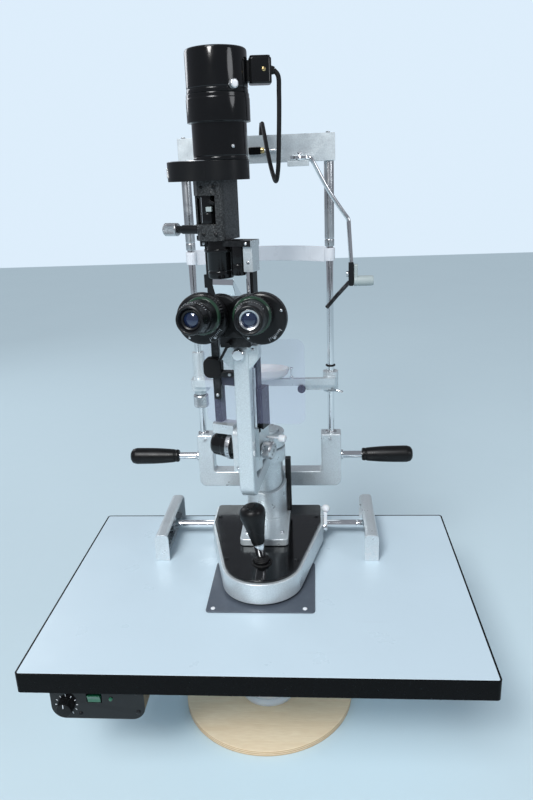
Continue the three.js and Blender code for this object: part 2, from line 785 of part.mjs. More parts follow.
function buildBreathShield() {
  const plateY = -134;
  const strip = { x: -36, half: 5, bottom: 294, top: 393 };
  const pad = { width: 25, height: 28, x: -40, z: 339 };
  const bracket = join(
    box(strip.x - strip.half, strip.x + strip.half, plateY - 8, plateY - GAP, strip.bottom, strip.top),
    frontSlab(roundedRectangle(pad.width, pad.height, 9, pad.x, pad.z), plateY - 14, plateY - GAP),
    box(pad.x, -11, plateY - 12, plateY - GAP, pad.z - pad.height / 2 + 1, pad.z - 5),
  );
  addPiece(microscopeSide, 'shield_bracket', bracket, blackSatin);
  const plate = frontSlab(roundedRectangle(138, 119, 12, 14, 316.5), plateY, plateY + 2.5);
  addPiece(microscopeSide, 'breath_shield', plate, clearAcrylic);
}

// ---------------------------------------------------------------- illumination
// In the illumination frame the column axis is x = y = 0 and the tower stands at y = -radius.

function buildIlluminationArm() {
  const { radius, tiltZ } = ILLUMINATION;
  const [bottom, top] = [173, 196];
  const arm = join(
    rod(31, top - bottom, [0, 0, bottom], [0, 0, 1], 28),
    box(2, 26, -radius, -20, bottom + 2, top - 3),
    box(2, 34, -radius - 15, -radius + 15, bottom + 1, tiltZ + 30),
  );
  const liftBore = rod(HUB_BORE, 40, [0, 0, bottom - 5], [0, 0, 1], 26);
  const shaftBore = rod(3.6, 60, [-4, -radius, tiltZ], [1, 0, 0], 14);
  addPiece(illuminationSide, 'illumination_arm', cut(arm, liftBore, shaftBore), silverPaint);

  const drum = turned(
    [[0, 0], [20, 0], [20, 9], [19, 10], [16.5, 30], [14, 34], [9, 36], [0, 36]],
    [-2, -radius, tiltZ],
    [-1, 0, 0],
    26,
  );
  const drumBore = rod(3.3, 18, [-18, -radius, tiltZ], [1, 0, 0], 14);
  addPiece(illuminationSide, 'slit_drum', cut(drum, drumBore), blackSatin);

  const knob = turned(
    [[0, 0], [3, 0], [3, 61], [12, 61], [13, 63], [13, 75], [12, 77], [0, 77]],
    [-17.5, -radius, tiltZ],
    [1, 0, 0],
    20,
  );
  addPiece(illuminationSide, 'slit_knob', knob, satinSteel);
}

function buildTowerFrame() {
  const { radius, tiltZ } = ILLUMINATION;
  const [leftPost, rightPost] = [
    [-31, -20],
    [29, 39],
  ];
  const deck = 495;
  const lug = (x0, x1, reach, top) =>
    sideSlab(
      polygon([
        [-radius - 9, tiltZ - 9],
        [-radius + 9, tiltZ - 9],
        [-radius + reach, tiltZ + 5],
        [-radius + reach, top],
        [-radius - 12, top],
      ]),
      x0,
      x1,
    );
  const frame = join(
    lug(-1.7, 1.7, 12, 243),
    box(-31, 1.7, -radius - 12, -radius + 12, 229, 243),
    lug(35, 42, 24, 243),
    box(27, 47, -radius - 6, -radius + 18, 241, 300),
    box(...leftPost, -radius - 2, -radius + 12, 242, deck + 2),
    box(...rightPost, -radius - 2, -radius + 12, 299, deck + 2),
    box(-20.5, 29.5, -radius - 2, -radius + 2, 300, 312),
    box(30, 43, -radius - 10, -radius + 12, 462, deck + 2),
    box(-31, 43, -radius - 14, -radius + 14, deck, 502.5),
    box(-35, -28.5, -radius - 2, -radius + 12, 438, 456),
  );
  const shaftBore = rod(3.4, 80, [-20, -radius, tiltZ], [1, 0, 0], 14);
  const tubeBore = join(
    rod(18, 60, [-9, -radius, 451], [0, 0, 1], 24),
    rod(21.5, 6, [-9, -radius, 486], [0, 0, 1], 24),
  );
  const sideBore = rod(9.9, 60, [20, -radius - 4, 452], [0, 0, 1], 20);
  const groove = box(40.5, 44, -radius - 10, -radius - 4, 236, 310);
  const latchBore = rod(1.8, 30, [34, -radius + 17, 221], [1, 0, 0], 10);
  addPiece(
    illuminationSide,
    'tower_frame',
    cut(frame, shaftBore, tubeBore, sideBore, groove, latchBore),
    blackSatin,
  );

  const latch = turned(
    [[0, 0], [1.4, 0], [1.4, 22], [5, 22], [5.5, 23], [5.5, 32], [0, 32]],
    [39, -radius + 17, 221],
    [1, 0, 0],
    12,
  );
  addPiece(illuminationSide, 'tilt_latch', latch, whitePlastic);

  const tubes = join(
    rod(17.5, 50, [-9, -radius, 452.5], [0, 0, 1], 26),
    rod(21, 4, [-9, -radius, 487], [0, 0, 1], 26),
    rod(9.4, 38, [20, -radius - 4, 457], [0, 0, 1], 20),
    box(-9, 20, -radius - 10, -radius + 4, 487, 491),
  );
  addPiece(illuminationSide, 'lens_tube', tubes, blackGloss);

  const wedge = polygon([
    [-radius - 11, 452],
    [-radius + 14, 427],
    [-radius + 8, 424],
    [-radius - 6, 430],
    [-radius - 12, 444],
  ]);
  addPiece(illuminationSide, 'mirror', sideSlab(wedge, -17, 14), chrome);
}

function buildFilterHousing() {
  const { radius } = ILLUMINATION;
  const [bottom, top, flangeTop] = [503, 578, 602];
  const [left, right] = [-35, 8];
  const [front, back] = [-radius - 26, -radius + 28];
  const wall = 3;
  const chamfer = 11;
  const edgeBevel = 4;
  const bodyOutline = polygon([
    [left + chamfer, front],
    [right - edgeBevel, front],
    [right, front + edgeBevel],
    [right, back],
    [left, back],
    [left, front + chamfer],
  ]);
  const flange = join(
    rod(36, flangeTop - top + 1, [0, -radius, top - 1], [0, 0, 1], 28),
    rod(38, flangeTop - top + 1, [-32, -radius - 8, top - 1], [0, 0, 1], 28),
  );
  const housing = cut(
    join(slab(bodyOutline, bottom, top), flange),
    box(left + wall, right - wall, front + wall + 5, back - wall, bottom + wall, top - wall),
    box(left - 1, 3, front - 1, front + 13, 524, 560),
    box(left - 1, left + wall + 1, -radius - 20, -radius + 14, 509, 523),
    box(-75, -63, -radius - 30, -radius + 14, top + 5, flangeTop - 5),
  );
  addPiece(illuminationSide, 'filter_housing', housing, hammerPaint);

  const drumAxis = [-12, -radius + 3];
  const lever = join(
    rod(15, 52, [...drumAxis, bottom + wall + 1], [0, 0, 1], 24),
    rod(6, 56, [-15, -radius, 516], [-1, 0, 0], 14),
    turned([[0, 0], [8, 0], [8.8, 1.5], [8.8, 19.5], [8, 21], [0, 21]], [-71, -radius, 516], [-1, 0, 0], 18),
  );
  addPiece(illuminationSide, 'aperture_lever', lever, blackSatin);
}

function buildLampHousing() {
  const { radius } = ILLUMINATION;
  const axis = [0, -radius];
  const bottom = 602 + GAP;
  const [step, joint, top] = [647, 680, 731];
  const housing = turned(
    [
      [0, 0],
      [35, 0],
      [35, step - bottom],
      [40, step - bottom],
      [40, joint - bottom],
      [35, joint - bottom],
      [35, step - bottom + 6],
      [31, step - bottom + 6],
      [31, 5],
      [0, 5],
    ],
    [...axis, bottom],
    [0, 0, 1],
    36,
  );
  addPiece(illuminationSide, 'lamp_housing', housing, blackGloss);

  const capBottom = joint + GAP;
  const screwAngle = THREE.MathUtils.degToRad(56);
  const screwOut = [Math.sin(screwAngle), -Math.cos(screwAngle), 0];
  const screwFrom = (distance) => [axis[0] + distance * screwOut[0], axis[1] + distance * screwOut[1], 688];
  const cap = cut(
    turned(
      [
        [35.5, 0],
        [38.5, 0],
        [38.5, top - capBottom - 2],
        [36.5, top - capBottom],
        [0, top - capBottom],
        [0, top - capBottom - 4],
        [35.5, top - capBottom - 4],
        [35.5, 0],
      ],
      [...axis, capBottom],
      [0, 0, 1],
      36,
    ),
    rod(2.9, 20, screwFrom(30), screwOut, 16),
  );
  addPiece(illuminationSide, 'lamp_cap', cap, blackGloss);

  const screw = turned(
    [[0, 0], [2.5, 0], [2.5, 5], [5.5, 5], [5.5, 10], [4.5, 11], [0, 11]],
    screwFrom(34),
    screwOut,
    14,
  );
  addPiece(illuminationSide, 'cap_screw', screw, satinSteel);

  const plugTurn = 28;
  const plug = slab(roundedRectangle(28, 25, 5, 54, 0), 690, 720, 4)
    .rotate([0, 0, plugTurn])
    .translate([axis[0], axis[1], 0]);
  addPiece(illuminationSide, 'lamp_plug', plug, blackSatin);
}

// ---------------------------------------------------------------- lamp lead

const CORD_RADIUS = 3;
// From the plug behind the lamp, down in a free loop, and up to the jack in the headrest's top bar.
const CORD_ROUTE = [
  [36.5, 250.5, 706],
  [41.5, 251.5, 700],
  [42, 256, 680],
  [40, 262, 628],
  [37, 274, 588],
  [33, 291, 574],
  [28, 310, 583],
  [20, 345, 610],
  [12, 390, 643],
  [8, 418, 656],
  [6, 433, 652],
  [6, 436, 641.2],
];

function buildLampLead() {
  addPiece(bench, 'lamp_cable', tube(CORD_ROUTE, CORD_RADIUS, 8, 44), blackRubber);
}

buildStand();
buildPowerSupply();
buildRails();
buildAxle();
buildBase();
buildColumn();
buildJoystick();
buildHeadrest();
buildChinRest();
buildFixationLamp();
buildMicroscopeArm();
buildMicroscopeBody();
buildBreathShield();
buildIlluminationArm();
buildTowerFrame();
buildFilterHousing();
buildLampHousing();
buildLampLead();

export default part;
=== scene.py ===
"""Looks of the slit lamp on its table top: a detailed, procedural piece for every CAD node."""

import json
import math

import bmesh
import bpy
from mathutils import Matrix, Vector


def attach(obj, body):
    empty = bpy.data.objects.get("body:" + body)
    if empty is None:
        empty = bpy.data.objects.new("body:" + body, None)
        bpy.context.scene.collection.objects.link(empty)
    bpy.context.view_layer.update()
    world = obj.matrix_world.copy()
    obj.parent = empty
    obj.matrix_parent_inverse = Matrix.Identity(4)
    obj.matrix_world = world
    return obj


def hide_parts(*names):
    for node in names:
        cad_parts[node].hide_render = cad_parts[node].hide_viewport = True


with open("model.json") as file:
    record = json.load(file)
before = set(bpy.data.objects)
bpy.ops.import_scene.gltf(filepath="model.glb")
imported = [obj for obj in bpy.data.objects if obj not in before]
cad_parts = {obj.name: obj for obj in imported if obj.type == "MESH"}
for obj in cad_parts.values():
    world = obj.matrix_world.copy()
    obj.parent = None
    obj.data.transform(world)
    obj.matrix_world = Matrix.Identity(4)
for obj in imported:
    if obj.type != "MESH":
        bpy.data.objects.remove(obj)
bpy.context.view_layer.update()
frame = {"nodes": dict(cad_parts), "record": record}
NODES = frame["nodes"]
BODY_OF = {
    node: body for body, nodes in frame["record"]["behaviour"]["bodies"].items() for node in nodes
}

shift = Matrix.Translation


def spin(degrees, axis):
    return Matrix.Rotation(math.radians(degrees), 4, axis)


# ---- frames, in millimetres
# The bench frame's origin is on the table top, at the middle of its front edge.

COLUMN_Y = 335
MICROSCOPE_SWING = -6
LAMP_SWING = -20
BENCH = Matrix.Scale(0.001, 4) @ shift((0, -225, 216))
COLUMN_AXIS = BENCH @ shift((0, COLUMN_Y, 0))
SCOPE = COLUMN_AXIS @ spin(MICROSCOPE_SWING, "Z")
LAMP = COLUMN_AXIS @ spin(LAMP_SWING, "Z")
SIDES = (("left", -1), ("right", 1))
UP, FRONT, REAR, LEFT, RIGHT = (0, 0, 1), (0, -1, 0), (0, 1, 0), (-1, 0, 0), (1, 0, 0)

# ---- camera

YAW, PITCH, ROLL = math.radians(4.482), math.radians(18.05), math.radians(-2.228)


def make_camera():
    forward = Vector(
        (-math.sin(YAW) * math.cos(PITCH), math.cos(YAW) * math.cos(PITCH), -math.sin(PITCH))
    )
    level = Vector((math.cos(YAW), math.sin(YAW), 0))
    upright = level.cross(forward)
    right = math.cos(ROLL) * level + math.sin(ROLL) * upright
    up = math.cos(ROLL) * upright - math.sin(ROLL) * level
    data = bpy.data.cameras.new("camera")
    data.lens = 30.97
    data.sensor_width = 36
    camera = bpy.data.objects.new("camera", data)
    matrix = Matrix((right, up, -forward)).transposed().to_4x4()
    matrix.translation = (0.0852, -0.9140, 0.7976)
    camera.matrix_world = matrix
    bpy.context.scene.collection.objects.link(camera)
    bpy.context.scene.camera = camera


# ---- materials


MATERIALS = {}


class Finish:
    """A Principled material whose colour, roughness and bump come from procedural nodes."""

    def __init__(self, name, color, roughness, **sockets):
        self.color = color
        self.roughness = roughness
        self.material = MATERIALS[name] = bpy.data.materials.new(name)
        self.material.use_nodes = True
        self.nodes = self.material.node_tree.nodes
        self.links = self.material.node_tree.links
        self.shader = self.nodes["Principled BSDF"]
        self.place = self.nodes.new("ShaderNodeTexCoord").outputs["Object"]
        self.normal = None
        for socket, value in sockets.items():
            self.shader.inputs[socket.replace("_", " ")].default_value = value

    def node(self, kind, values=(), links=(), **settings):
        """Adds a node, sets its fixed sockets and links sockets into it."""
        node = self.nodes.new(f"ShaderNode{kind}")
        for name, value in settings.items():
            setattr(node, name, value)
        for socket, value in dict(values).items():
            node.inputs[socket].default_value = value
        for socket, source in dict(links).items():
            self.links.new(source, node.inputs[socket])
        return node.outputs

    def stretched(self, scale):
        return self.node("Mapping", {"Scale": scale}, {"Vector": self.place})["Vector"]

    def noise(self, scale, detail=3.0, place=None, distortion=0.0):
        values = {"Scale": scale, "Detail": detail, "Distortion": distortion}
        return self.node("TexNoise", values, {"Vector": place or self.place})["Fac"]

    def cells(self, scale, smoothness=0.6):
        values = {"Scale": scale, "Smoothness": smoothness}
        return self.node("TexVoronoi", values, {"Vector": self.place}, feature="SMOOTH_F1")["Distance"]

    def spread(self, value, low, high, from_low=0.3, from_high=0.7):
        values = {"From Min": from_low, "From Max": from_high, "To Min": low, "To Max": high}
        return self.node("MapRange", values, {"Value": value})["Result"]

    def times(self, first, second):
        return self.node("Math", links={0: first, 1: second}, operation="MULTIPLY")["Value"]

    def tint(self, factor, color):
        """Mixes the base colour towards `color` by `factor`."""
        socket = self.shader.inputs["Base Color"]
        values, links = {"B": (*color, 1)}, {"Factor": factor}
        if socket.is_linked:
            links["A"] = socket.links[0].from_socket
        else:
            values["A"] = (*self.color, 1)
        self.links.new(self.node("Mix", values, links, data_type="RGBA")["Result"], socket)

    def vary_roughness(self, value, amount):
        spread = self.spread(
            value, max(0.02, self.roughness - amount), min(1.0, self.roughness + amount),
        )
        self.links.new(spread, self.shader.inputs["Roughness"])

    def bump(self, height, strength, distance):
        links = {"Height": height}
        if self.normal is not None:
            links["Normal"] = self.normal
        self.normal = self.node("Bump", {"Strength": strength, "Distance": distance}, links)["Normal"]
        self.links.new(self.normal, self.shader.inputs["Normal"])

    def worn_edges(self, color, low=0.53, high=0.62):
        edge = self.spread(self.node("NewGeometry")["Pointiness"], 0.0, 0.75, low, high)
        patchy = self.spread(self.noise(160, 4.0), 0.0, 1.0, 0.42, 0.62)
        self.tint(self.times(edge, patchy), color)


def shaded(color, share):
    return tuple(channel * share for channel in color)


def cast_paint(name, color, roughness, cell, depth, metallic, worn, dimple_shade=0.55, dimple_shade_tone=0.72):
    """Hammertone paint on a casting: small soft dimples with painted shade in them, faint clouding and rubbed
    edges.
    """
    finish = Finish(name, color, roughness, Metallic=metallic, Coat_Weight=0.25, Coat_Roughness=0.2)
    dimples = finish.cells(cell)
    # painted shade: each dimple cell is darkened away from its centre, down to the given share of the colour
    finish.tint(finish.spread(dimples, 0.0, dimple_shade, 0.15, 0.6), shaded(color, dimple_shade_tone))
    finish.tint(finish.spread(finish.noise(14), 0.0, 0.3), shaded(color, 0.8))
    finish.worn_edges(worn)
    finish.vary_roughness(finish.noise(60), 0.09)
    finish.bump(dimples, 0.55, depth)
    finish.bump(finish.noise(cell * 3), 0.2, depth * 0.4)


def lacquer(name, color, roughness, coat, worn):
    """Smooth sprayed lacquer: orange peel, fine dust and slightly rubbed edges."""
    finish = Finish(
        name, color, roughness, Coat_Weight=coat, Coat_Roughness=0.06, Specular_IOR_Level=0.26,
    )
    dust = finish.spread(finish.noise(2600, 2.0), 0.0, 0.35, 0.7, 0.82)
    finish.tint(dust, (0.09, 0.09, 0.095))
    finish.tint(finish.spread(finish.noise(9), 0.0, 0.4), shaded(color, 1.9))
    finish.worn_edges(worn)
    finish.vary_roughness(finish.noise(35, 5.0), 0.06)
    finish.bump(finish.noise(420, 2.0), 0.18, 0.00012)


def moulded(name, color, roughness, grain, depth, **sockets):
    """Moulded plastic or rubber with a fine grain."""
    finish = Finish(name, color, roughness, **sockets)
    finish.tint(finish.spread(finish.noise(22), 0.0, 0.5), shaded(color, 0.8))
    finish.tint(finish.spread(finish.noise(1900, 2.0), 0.0, 0.35, 0.6, 0.75), shaded(color, 1.35))
    finish.vary_roughness(finish.noise(80, 4.0), 0.08)
    finish.bump(finish.noise(grain, 3.0), 0.35, depth)


def bare_metal(name, color, roughness, lines, strength, smudge):
    """Plated or turned metal with fine lines left by the tool and faint smudges."""
    finish = Finish(name, color, roughness, Metallic=1.0)
    brushed = finish.noise(lines, 4.0, finish.stretched((1.0, 1.0, 6.0)))
    finish.tint(finish.spread(finish.noise(28, 4.0), 0.0, smudge), shaded(color, 0.7))
    finish.tint(finish.spread(brushed, 0.0, 0.25), shaded(color, 0.8))
    finish.vary_roughness(finish.noise(45, 5.0), roughness * 0.45)
    finish.bump(brushed, strength, 0.00005)


def laminate(name):
    finish = Finish(name, (0.55, 0.675, 0.75), 0.36, Coat_Weight=0.1, Coat_Roughness=0.3)
    pearl = finish.cells(2200, 0.9)
    finish.tint(finish.spread(pearl, 0.0, 0.12, 0.1, 0.8), (0.52, 0.635, 0.71))
    finish.tint(finish.spread(finish.noise(5, 5.0), 0.0, 0.22), (0.54, 0.655, 0.73))
    scuffs = finish.noise(60, 6.0, finish.stretched((0.12, 1.0, 1.0)), 0.6)
    finish.tint(finish.spread(scuffs, 0.0, 0.12, 0.66, 0.74), (0.46, 0.54, 0.60))
    finish.vary_roughness(finish.noise(18, 5.0), 0.1)
    finish.bump(pearl, 0.25, 0.00006)


def plywood(name):
    """Birch face grain with thin plies on the cut edge."""
    finish = Finish(name, (0.86, 0.71, 0.50), 0.55, Coat_Weight=0.08, Coat_Roughness=0.4)
    fibres = finish.noise(900, 5.0, finish.stretched((0.06, 1.0, 1.0)))
    figure = finish.noise(34, 3.0, finish.stretched((0.16, 1.0, 1.0)), 1.6)
    finish.tint(finish.spread(figure, 0.0, 0.55, 0.38, 0.62), (0.76, 0.57, 0.36))
    finish.tint(finish.spread(fibres, 0.0, 0.5), (0.66, 0.48, 0.29))
    height = finish.node("SeparateXYZ", links={"Vector": finish.place})["Z"]
    plies = finish.node("Math", {1: 0.0015}, {0: height}, operation="PINGPONG")["Value"]
    normal = finish.node("NewGeometry")["Normal"]
    facing = finish.node("SeparateXYZ", links={"Vector": normal})["Z"]
    edge = finish.node("Math", {1: 0.0, 2: 0.5}, {0: facing}, operation="COMPARE")["Value"]
    layers = finish.spread(plies, 0.0, 0.85, 0.0006, 0.0009)
    finish.tint(finish.times(layers, edge), (0.50, 0.32, 0.17))
    finish.vary_roughness(figure, 0.08)
    finish.bump(fibres, 0.4, 0.00015)


def sheet_plastic(name, color, alpha, roughness, haze):
    """Clear or milky sheet with faint haze and scratches."""
    finish = Finish(name, color, roughness, Alpha=alpha, IOR=1.49, Coat_Weight=0.5, Coat_Roughness=0.04)
    scratches = finish.noise(420, 6.0, finish.stretched((1.0, 1.0, 0.05)))
    finish.tint(finish.spread(finish.noise(24, 4.0), 0.0, haze), shaded(color, 0.82))
    finish.tint(finish.spread(scratches, 0.0, 0.3, 0.6, 0.8), (0.95, 0.96, 1.0))
    finish.vary_roughness(finish.noise(50, 4.0), 0.04)
    finish.bump(scratches, 0.1, 0.00003)


def coated_glass(name, color):
    """A lens face: dark glass with a blue anti-reflection coat and a little dust."""
    finish = Finish(
        name, color, 0.05, IOR=1.7, Coat_Weight=1.0, Coat_Roughness=0.02, Coat_Tint=(0.7, 0.8, 1.0, 1.0),
    )
    finish.tint(finish.spread(finish.noise(110, 3.0), 0.0, 0.5), shaded(color, 2.2))
    finish.tint(finish.spread(finish.noise(3000, 2.0), 0.0, 0.3, 0.66, 0.8), (0.3, 0.33, 0.4))
    finish.vary_roughness(finish.noise(150, 3.0), 0.03)
    finish.bump(finish.noise(40, 2.0), 0.05, 0.0001)


cast_paint("silver_casting", (0.73, 0.80, 0.83), 0.36, 620, 0.00022, 0.55, (0.72, 0.73, 0.74))
# hammer_grey: strong painted shade in its dimples, down to 12 % of the colour
cast_paint(
    "hammer_grey", (0.085, 0.09, 0.092), 0.36, 560, 0.0008, 0.45, (0.20, 0.205, 0.21), 0.95, 0.12,
)
cast_paint("slate_plate", (0.085, 0.105, 0.135), 0.48, 1300, 0.00008, 0.1, (0.22, 0.25, 0.29))
lacquer("black_lacquer", (0.0022, 0.0024, 0.0028), 0.16, 0.35, (0.04, 0.04, 0.04))
lacquer("black_satin", (0.0045, 0.0049, 0.0055), 0.33, 0.12, (0.06, 0.06, 0.065))
lacquer("black_gloss_plastic", (0.0035, 0.0038, 0.0042), 0.14, 0.3, (0.04, 0.04, 0.04))
moulded("black_plastic", (0.005, 0.0052, 0.0056), 0.34, 900, 0.0001, Specular_IOR_Level=0.25)
moulded("black_rubber", (0.007, 0.007, 0.0075), 0.55, 1200, 0.00016, Specular_IOR_Level=0.25)
moulded("edge_band", (0.002, 0.002, 0.0023), 0.26, 700, 0.0001, Specular_IOR_Level=0.1)
moulded("white_plastic", (0.80, 0.82, 0.84), 0.38, 700, 0.00006, Subsurface_Weight=0.08)
moulded("grey_plastic", (0.36, 0.42, 0.42), 0.42, 800, 0.0001)
moulded("switch_green", (0.012, 0.11, 0.055), 0.22, 600, 0.00005, Coat_Weight=0.6)
bare_metal("chrome_steel", (0.83, 0.845, 0.86), 0.10, 260, 0.06, 0.25)
bare_metal("satin_steel", (0.62, 0.635, 0.65), 0.30, 520, 0.3, 0.3)
bare_metal("mirror_glass", (0.86, 0.88, 0.9), 0.05, 90, 0.02, 0.1)
bare_metal("brass", (0.62, 0.47, 0.22), 0.28, 520, 0.3, 0.4)
lacquer("ring_green", (0.012, 0.034, 0.02), 0.2, 0.5, (0.2, 0.21, 0.17))
laminate("white_laminate")
plywood("birch_plywood")
sheet_plastic("clear_acrylic", (0.42, 0.45, 0.70), 0.09, 0.06, 0.25)
sheet_plastic("milky_band", (0.82, 0.85, 0.90), 0.88, 0.3, 0.4)
coated_glass("lens_glass", (0.008, 0.014, 0.032))

# ---- mesh helpers


def new_mesh(name, vertices, faces):
    mesh = bpy.data.meshes.new(name)
    mesh.from_pydata([tuple(v) for v in vertices], [], faces)
    mesh.update()
    return mesh


def outward(mesh):
    """Points every face outwards and joins vertices that coincide."""
    work = bmesh.new()
    work.from_mesh(mesh)
    bmesh.ops.remove_doubles(work, verts=work.verts, dist=1e-5)
    bmesh.ops.recalc_face_normals(work, faces=work.faces)
    work.to_mesh(mesh)
    work.free()
    return mesh


def rounded(profile, radius, steps=4):
    """A [radius, height] profile with each corner replaced by a small arc."""
    if radius <= 0:
        return profile
    points = [Vector(p) for p in profile]
    out = [points[0]]
    for before, corner, after in zip(points, points[1:], points[2:]):
        to_before, to_after = before - corner, after - corner
        reach = min(radius, 0.45 * to_before.length, 0.45 * to_after.length)
        if reach < 1e-4 or to_before.angle(to_after) > math.radians(165):
            out.append(corner)
            continue
        start = corner + to_before.normalized() * reach
        end = corner + to_after.normalized() * reach
        for i in range(steps + 1):
            t = i / steps
            out.append((1 - t) ** 2 * start + 2 * t * (1 - t) * corner + t * t * end)
    out.append(points[-1])
    return out


def axis_matrix(at, direction):
    turn = Vector(direction).normalized().to_track_quat("Z", "Y").to_matrix().to_4x4()
    return shift(at) @ turn


def lathe_mesh(profile, fillet=0.5, segments=96, flutes=()):
    """A turned body about Z. `flutes` holds (low, high, count, depth) bands of cut ridges."""
    for low, high, _, _ in flutes:
        profile = with_heights(profile, (low, high))
    points = rounded(profile, fillet)
    vertices, rings = [], []
    for radius, height in points:
        if radius < 1e-4:
            rings.append([len(vertices)])
            vertices.append((0, 0, height))
            continue
        ring = []
        for i in range(segments):
            angle = 2 * math.pi * i / segments
            cut = 0
            for low, high, count, depth in flutes:
                if low - 1e-6 <= height <= high + 1e-6:
                    cut += depth * (0.5 - 0.5 * math.cos(count * angle))
            ring.append(len(vertices))
            vertices.append(
                ((radius - cut) * math.cos(angle), (radius - cut) * math.sin(angle), height)
            )
        rings.append(ring)
    faces = []
    for lower, upper in zip(rings, rings[1:]):
        for i in range(segments):
            j = (i + 1) % segments
            if len(lower) == 1 and len(upper) == 1:
                break
            if len(lower) == 1:
                faces.append((lower[0], upper[j], upper[i]))
            elif len(upper) == 1:
                faces.append((lower[i], lower[j], upper[0]))
            else:
                faces.append((lower[i], lower[j], upper[j], upper[i]))
    return outward(new_mesh("turned", vertices, faces))


def with_heights(profile, heights):
    """Adds points to the outer wall of a profile where a band of flutes starts and ends."""
    out = [profile[0]]
    for (r0, h0), (r1, h1) in zip(profile, profile[1:]):
        for height in sorted(heights, reverse=h1 < h0):
            if min(h0, h1) + 1e-3 < height < max(h0, h1) - 1e-3:
                share = (height - h0) / (h1 - h0)
                side = 0.05 if h1 > h0 else -0.05
                radius = r0 + share * (r1 - r0)
                out.append((radius, height - side))
                out.append((radius, height + side))
        out.append((r1, h1))
    return out


def rod(radius, height):
    return [(0, 0), (radius, 0), (radius, height), (0, height)]


def ring_profile(inner, outer, height, low=0.0):
    return [(inner, low), (outer, low), (outer, low + height), (inner, low + height), (inner, low)]


def arc(cx, cy, radius, start, end, steps=14):
    angles = [math.radians(start + (end - start) * i / steps) for i in range(steps + 1)]
    return [(cx + radius * math.cos(a), cy + radius * math.sin(a)) for a in angles]


def rounded_rectangle(width, height, radius, x=0.0, y=0.0):
    w, h = width / 2 - radius, height / 2 - radius
    return (
        arc(x + w, y - h, radius, -90, 0)
        + arc(x + w, y + h, radius, 0, 90)
        + arc(x - w, y + h, radius, 90, 180)
        + arc(x - w, y - h, radius, 180, 270)
    )


def rectangle(x0, x1, y0, y1):
    return [(x0, y0), (x1, y0), (x1, y1), (x0, y1)]


PLANES = {
    "XY": lambda u, v, d: (u, v, d),
    "XZ": lambda u, v, d: (u, d, v),
    "YZ": lambda u, v, d: (d, u, v),
}


def prism_mesh(outline, low, high, plane="XY"):
    """A closed outline pulled from `low` to `high` at right angles to its plane."""
    kept = [p for i, p in enumerate(outline) if (Vector(p) - Vector(outline[i - 1])).length > 1e-4]
    count = len(kept)
    place = PLANES[plane]
    vertices = [place(u, v, low) for u, v in kept] + [place(u, v, high) for u, v in kept]
    faces = [tuple(range(count)), tuple(range(count, 2 * count))]
    for i in range(count):
        j = (i + 1) % count
        faces.append((i, j, count + j, count + i))
    return outward(new_mesh("prism", vertices, faces))


def block_mesh(x0, x1, y0, y1, z0, z1):
    return prism_mesh(rectangle(x0, x1, y0, y1), z0, z1)


def evaluated_mesh(obj):
    depsgraph = bpy.context.evaluated_depsgraph_get()
    return bpy.data.meshes.new_from_object(obj.evaluated_get(depsgraph))


def combined(mesh, cutters, operation="DIFFERENCE"):
    """Cuts other meshes from a mesh, or joins them to it."""
    link = bpy.context.scene.collection.objects.link
    body = bpy.data.objects.new("work", mesh)
    link(body)
    helpers = []
    for cutter in cutters:
        helper = bpy.data.objects.new("cutter", cutter)
        link(helper)
        modifier = body.modifiers.new("cut", "BOOLEAN")
        modifier.operation = operation
        modifier.solver = "EXACT"
        modifier.object = helper
        helpers.append(helper)
    result = evaluated_mesh(body)
    for obj in [body, *helpers]:
        bpy.data.objects.remove(obj)
    return result


def curve_mesh(points, radius, resolution=6, smooth_path=True):
    """A round wire through the points, in millimetres."""
    data = bpy.data.curves.new("wire", "CURVE")
    data.dimensions = "3D"
    data.bevel_depth = radius
    data.bevel_resolution = resolution
    data.resolution_u = 12
    data.use_fill_caps = True
    kind = "NURBS" if smooth_path else "POLY"
    spline = data.splines.new(kind)
    spline.points.add(len(points) - 1)
    for point, place in zip(spline.points, points):
        point.co = (*place, 1)
    if smooth_path:
        spline.order_u = 3
        spline.use_endpoint_u = True
    obj = bpy.data.objects.new("wire", data)
    bpy.context.scene.collection.objects.link(obj)
    mesh = evaluated_mesh(obj)
    bpy.data.objects.remove(obj)
    return mesh


# ---- pieces


class Part:
    """Adds pieces, made in millimetres in one frame, that all ride on one body."""

    def __init__(self, space, body):
        self.space = space
        self.body = body

    def piece(self, name, mesh, finish, stands_for=None, bevel=0.0, angle=38, segments=3, pose=None):
        mesh.name = name
        if pose is not None:
            mesh.transform(pose)
        mesh.transform(self.space)
        mesh.materials.clear()
        mesh.materials.append(MATERIALS[finish])
        mesh.polygons.foreach_set("use_smooth", [True] * len(mesh.polygons))
        mesh.set_sharp_from_angle(angle=math.radians(angle))
        obj = bpy.data.objects.new(name, mesh)
        bpy.context.scene.collection.objects.link(obj)
        if bevel:
            modifier = obj.modifiers.new("edges", "BEVEL")
            modifier.width = bevel / 1000
            modifier.segments = segments
            modifier.limit_method = "ANGLE"
            modifier.angle_limit = math.radians(angle)
            modifier.harden_normals = True
            modifier.use_clamp_overlap = True
        if stands_for:
            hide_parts(stands_for)
        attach(obj, self.body)
        return obj

    def prism(self, name, outline, low, high, plane, finish, *look, **more):
        return self.piece(name, prism_mesh(outline, low, high, plane), finish, *look, **more)

    def turned(
        self, name, profile, at, direction, finish, stands_for=None, fillet=0.5, segments=96, flutes=(),
    ):
        mesh = lathe_mesh(profile, fillet, segments, flutes)
        mesh.transform(axis_matrix(at, direction))
        return self.piece(name, mesh, finish, stands_for)

    def screws(self, name, kind, radius, places, direction, finish="chrome_steel"):
        """Screw heads of one kind, each turned to its own angle."""
        key = (kind, radius)
        if key not in screw_meshes:
            screw_meshes[key] = SCREWS[kind](radius)
        for i, at in enumerate(places):
            turn = Matrix.Rotation(0.7 + 1.9 * i, 4, "Z")
            self.piece(
                f"{name}_{i + 1}", screw_meshes[key].copy(), finish,
                pose=axis_matrix(at, direction) @ turn,
            )


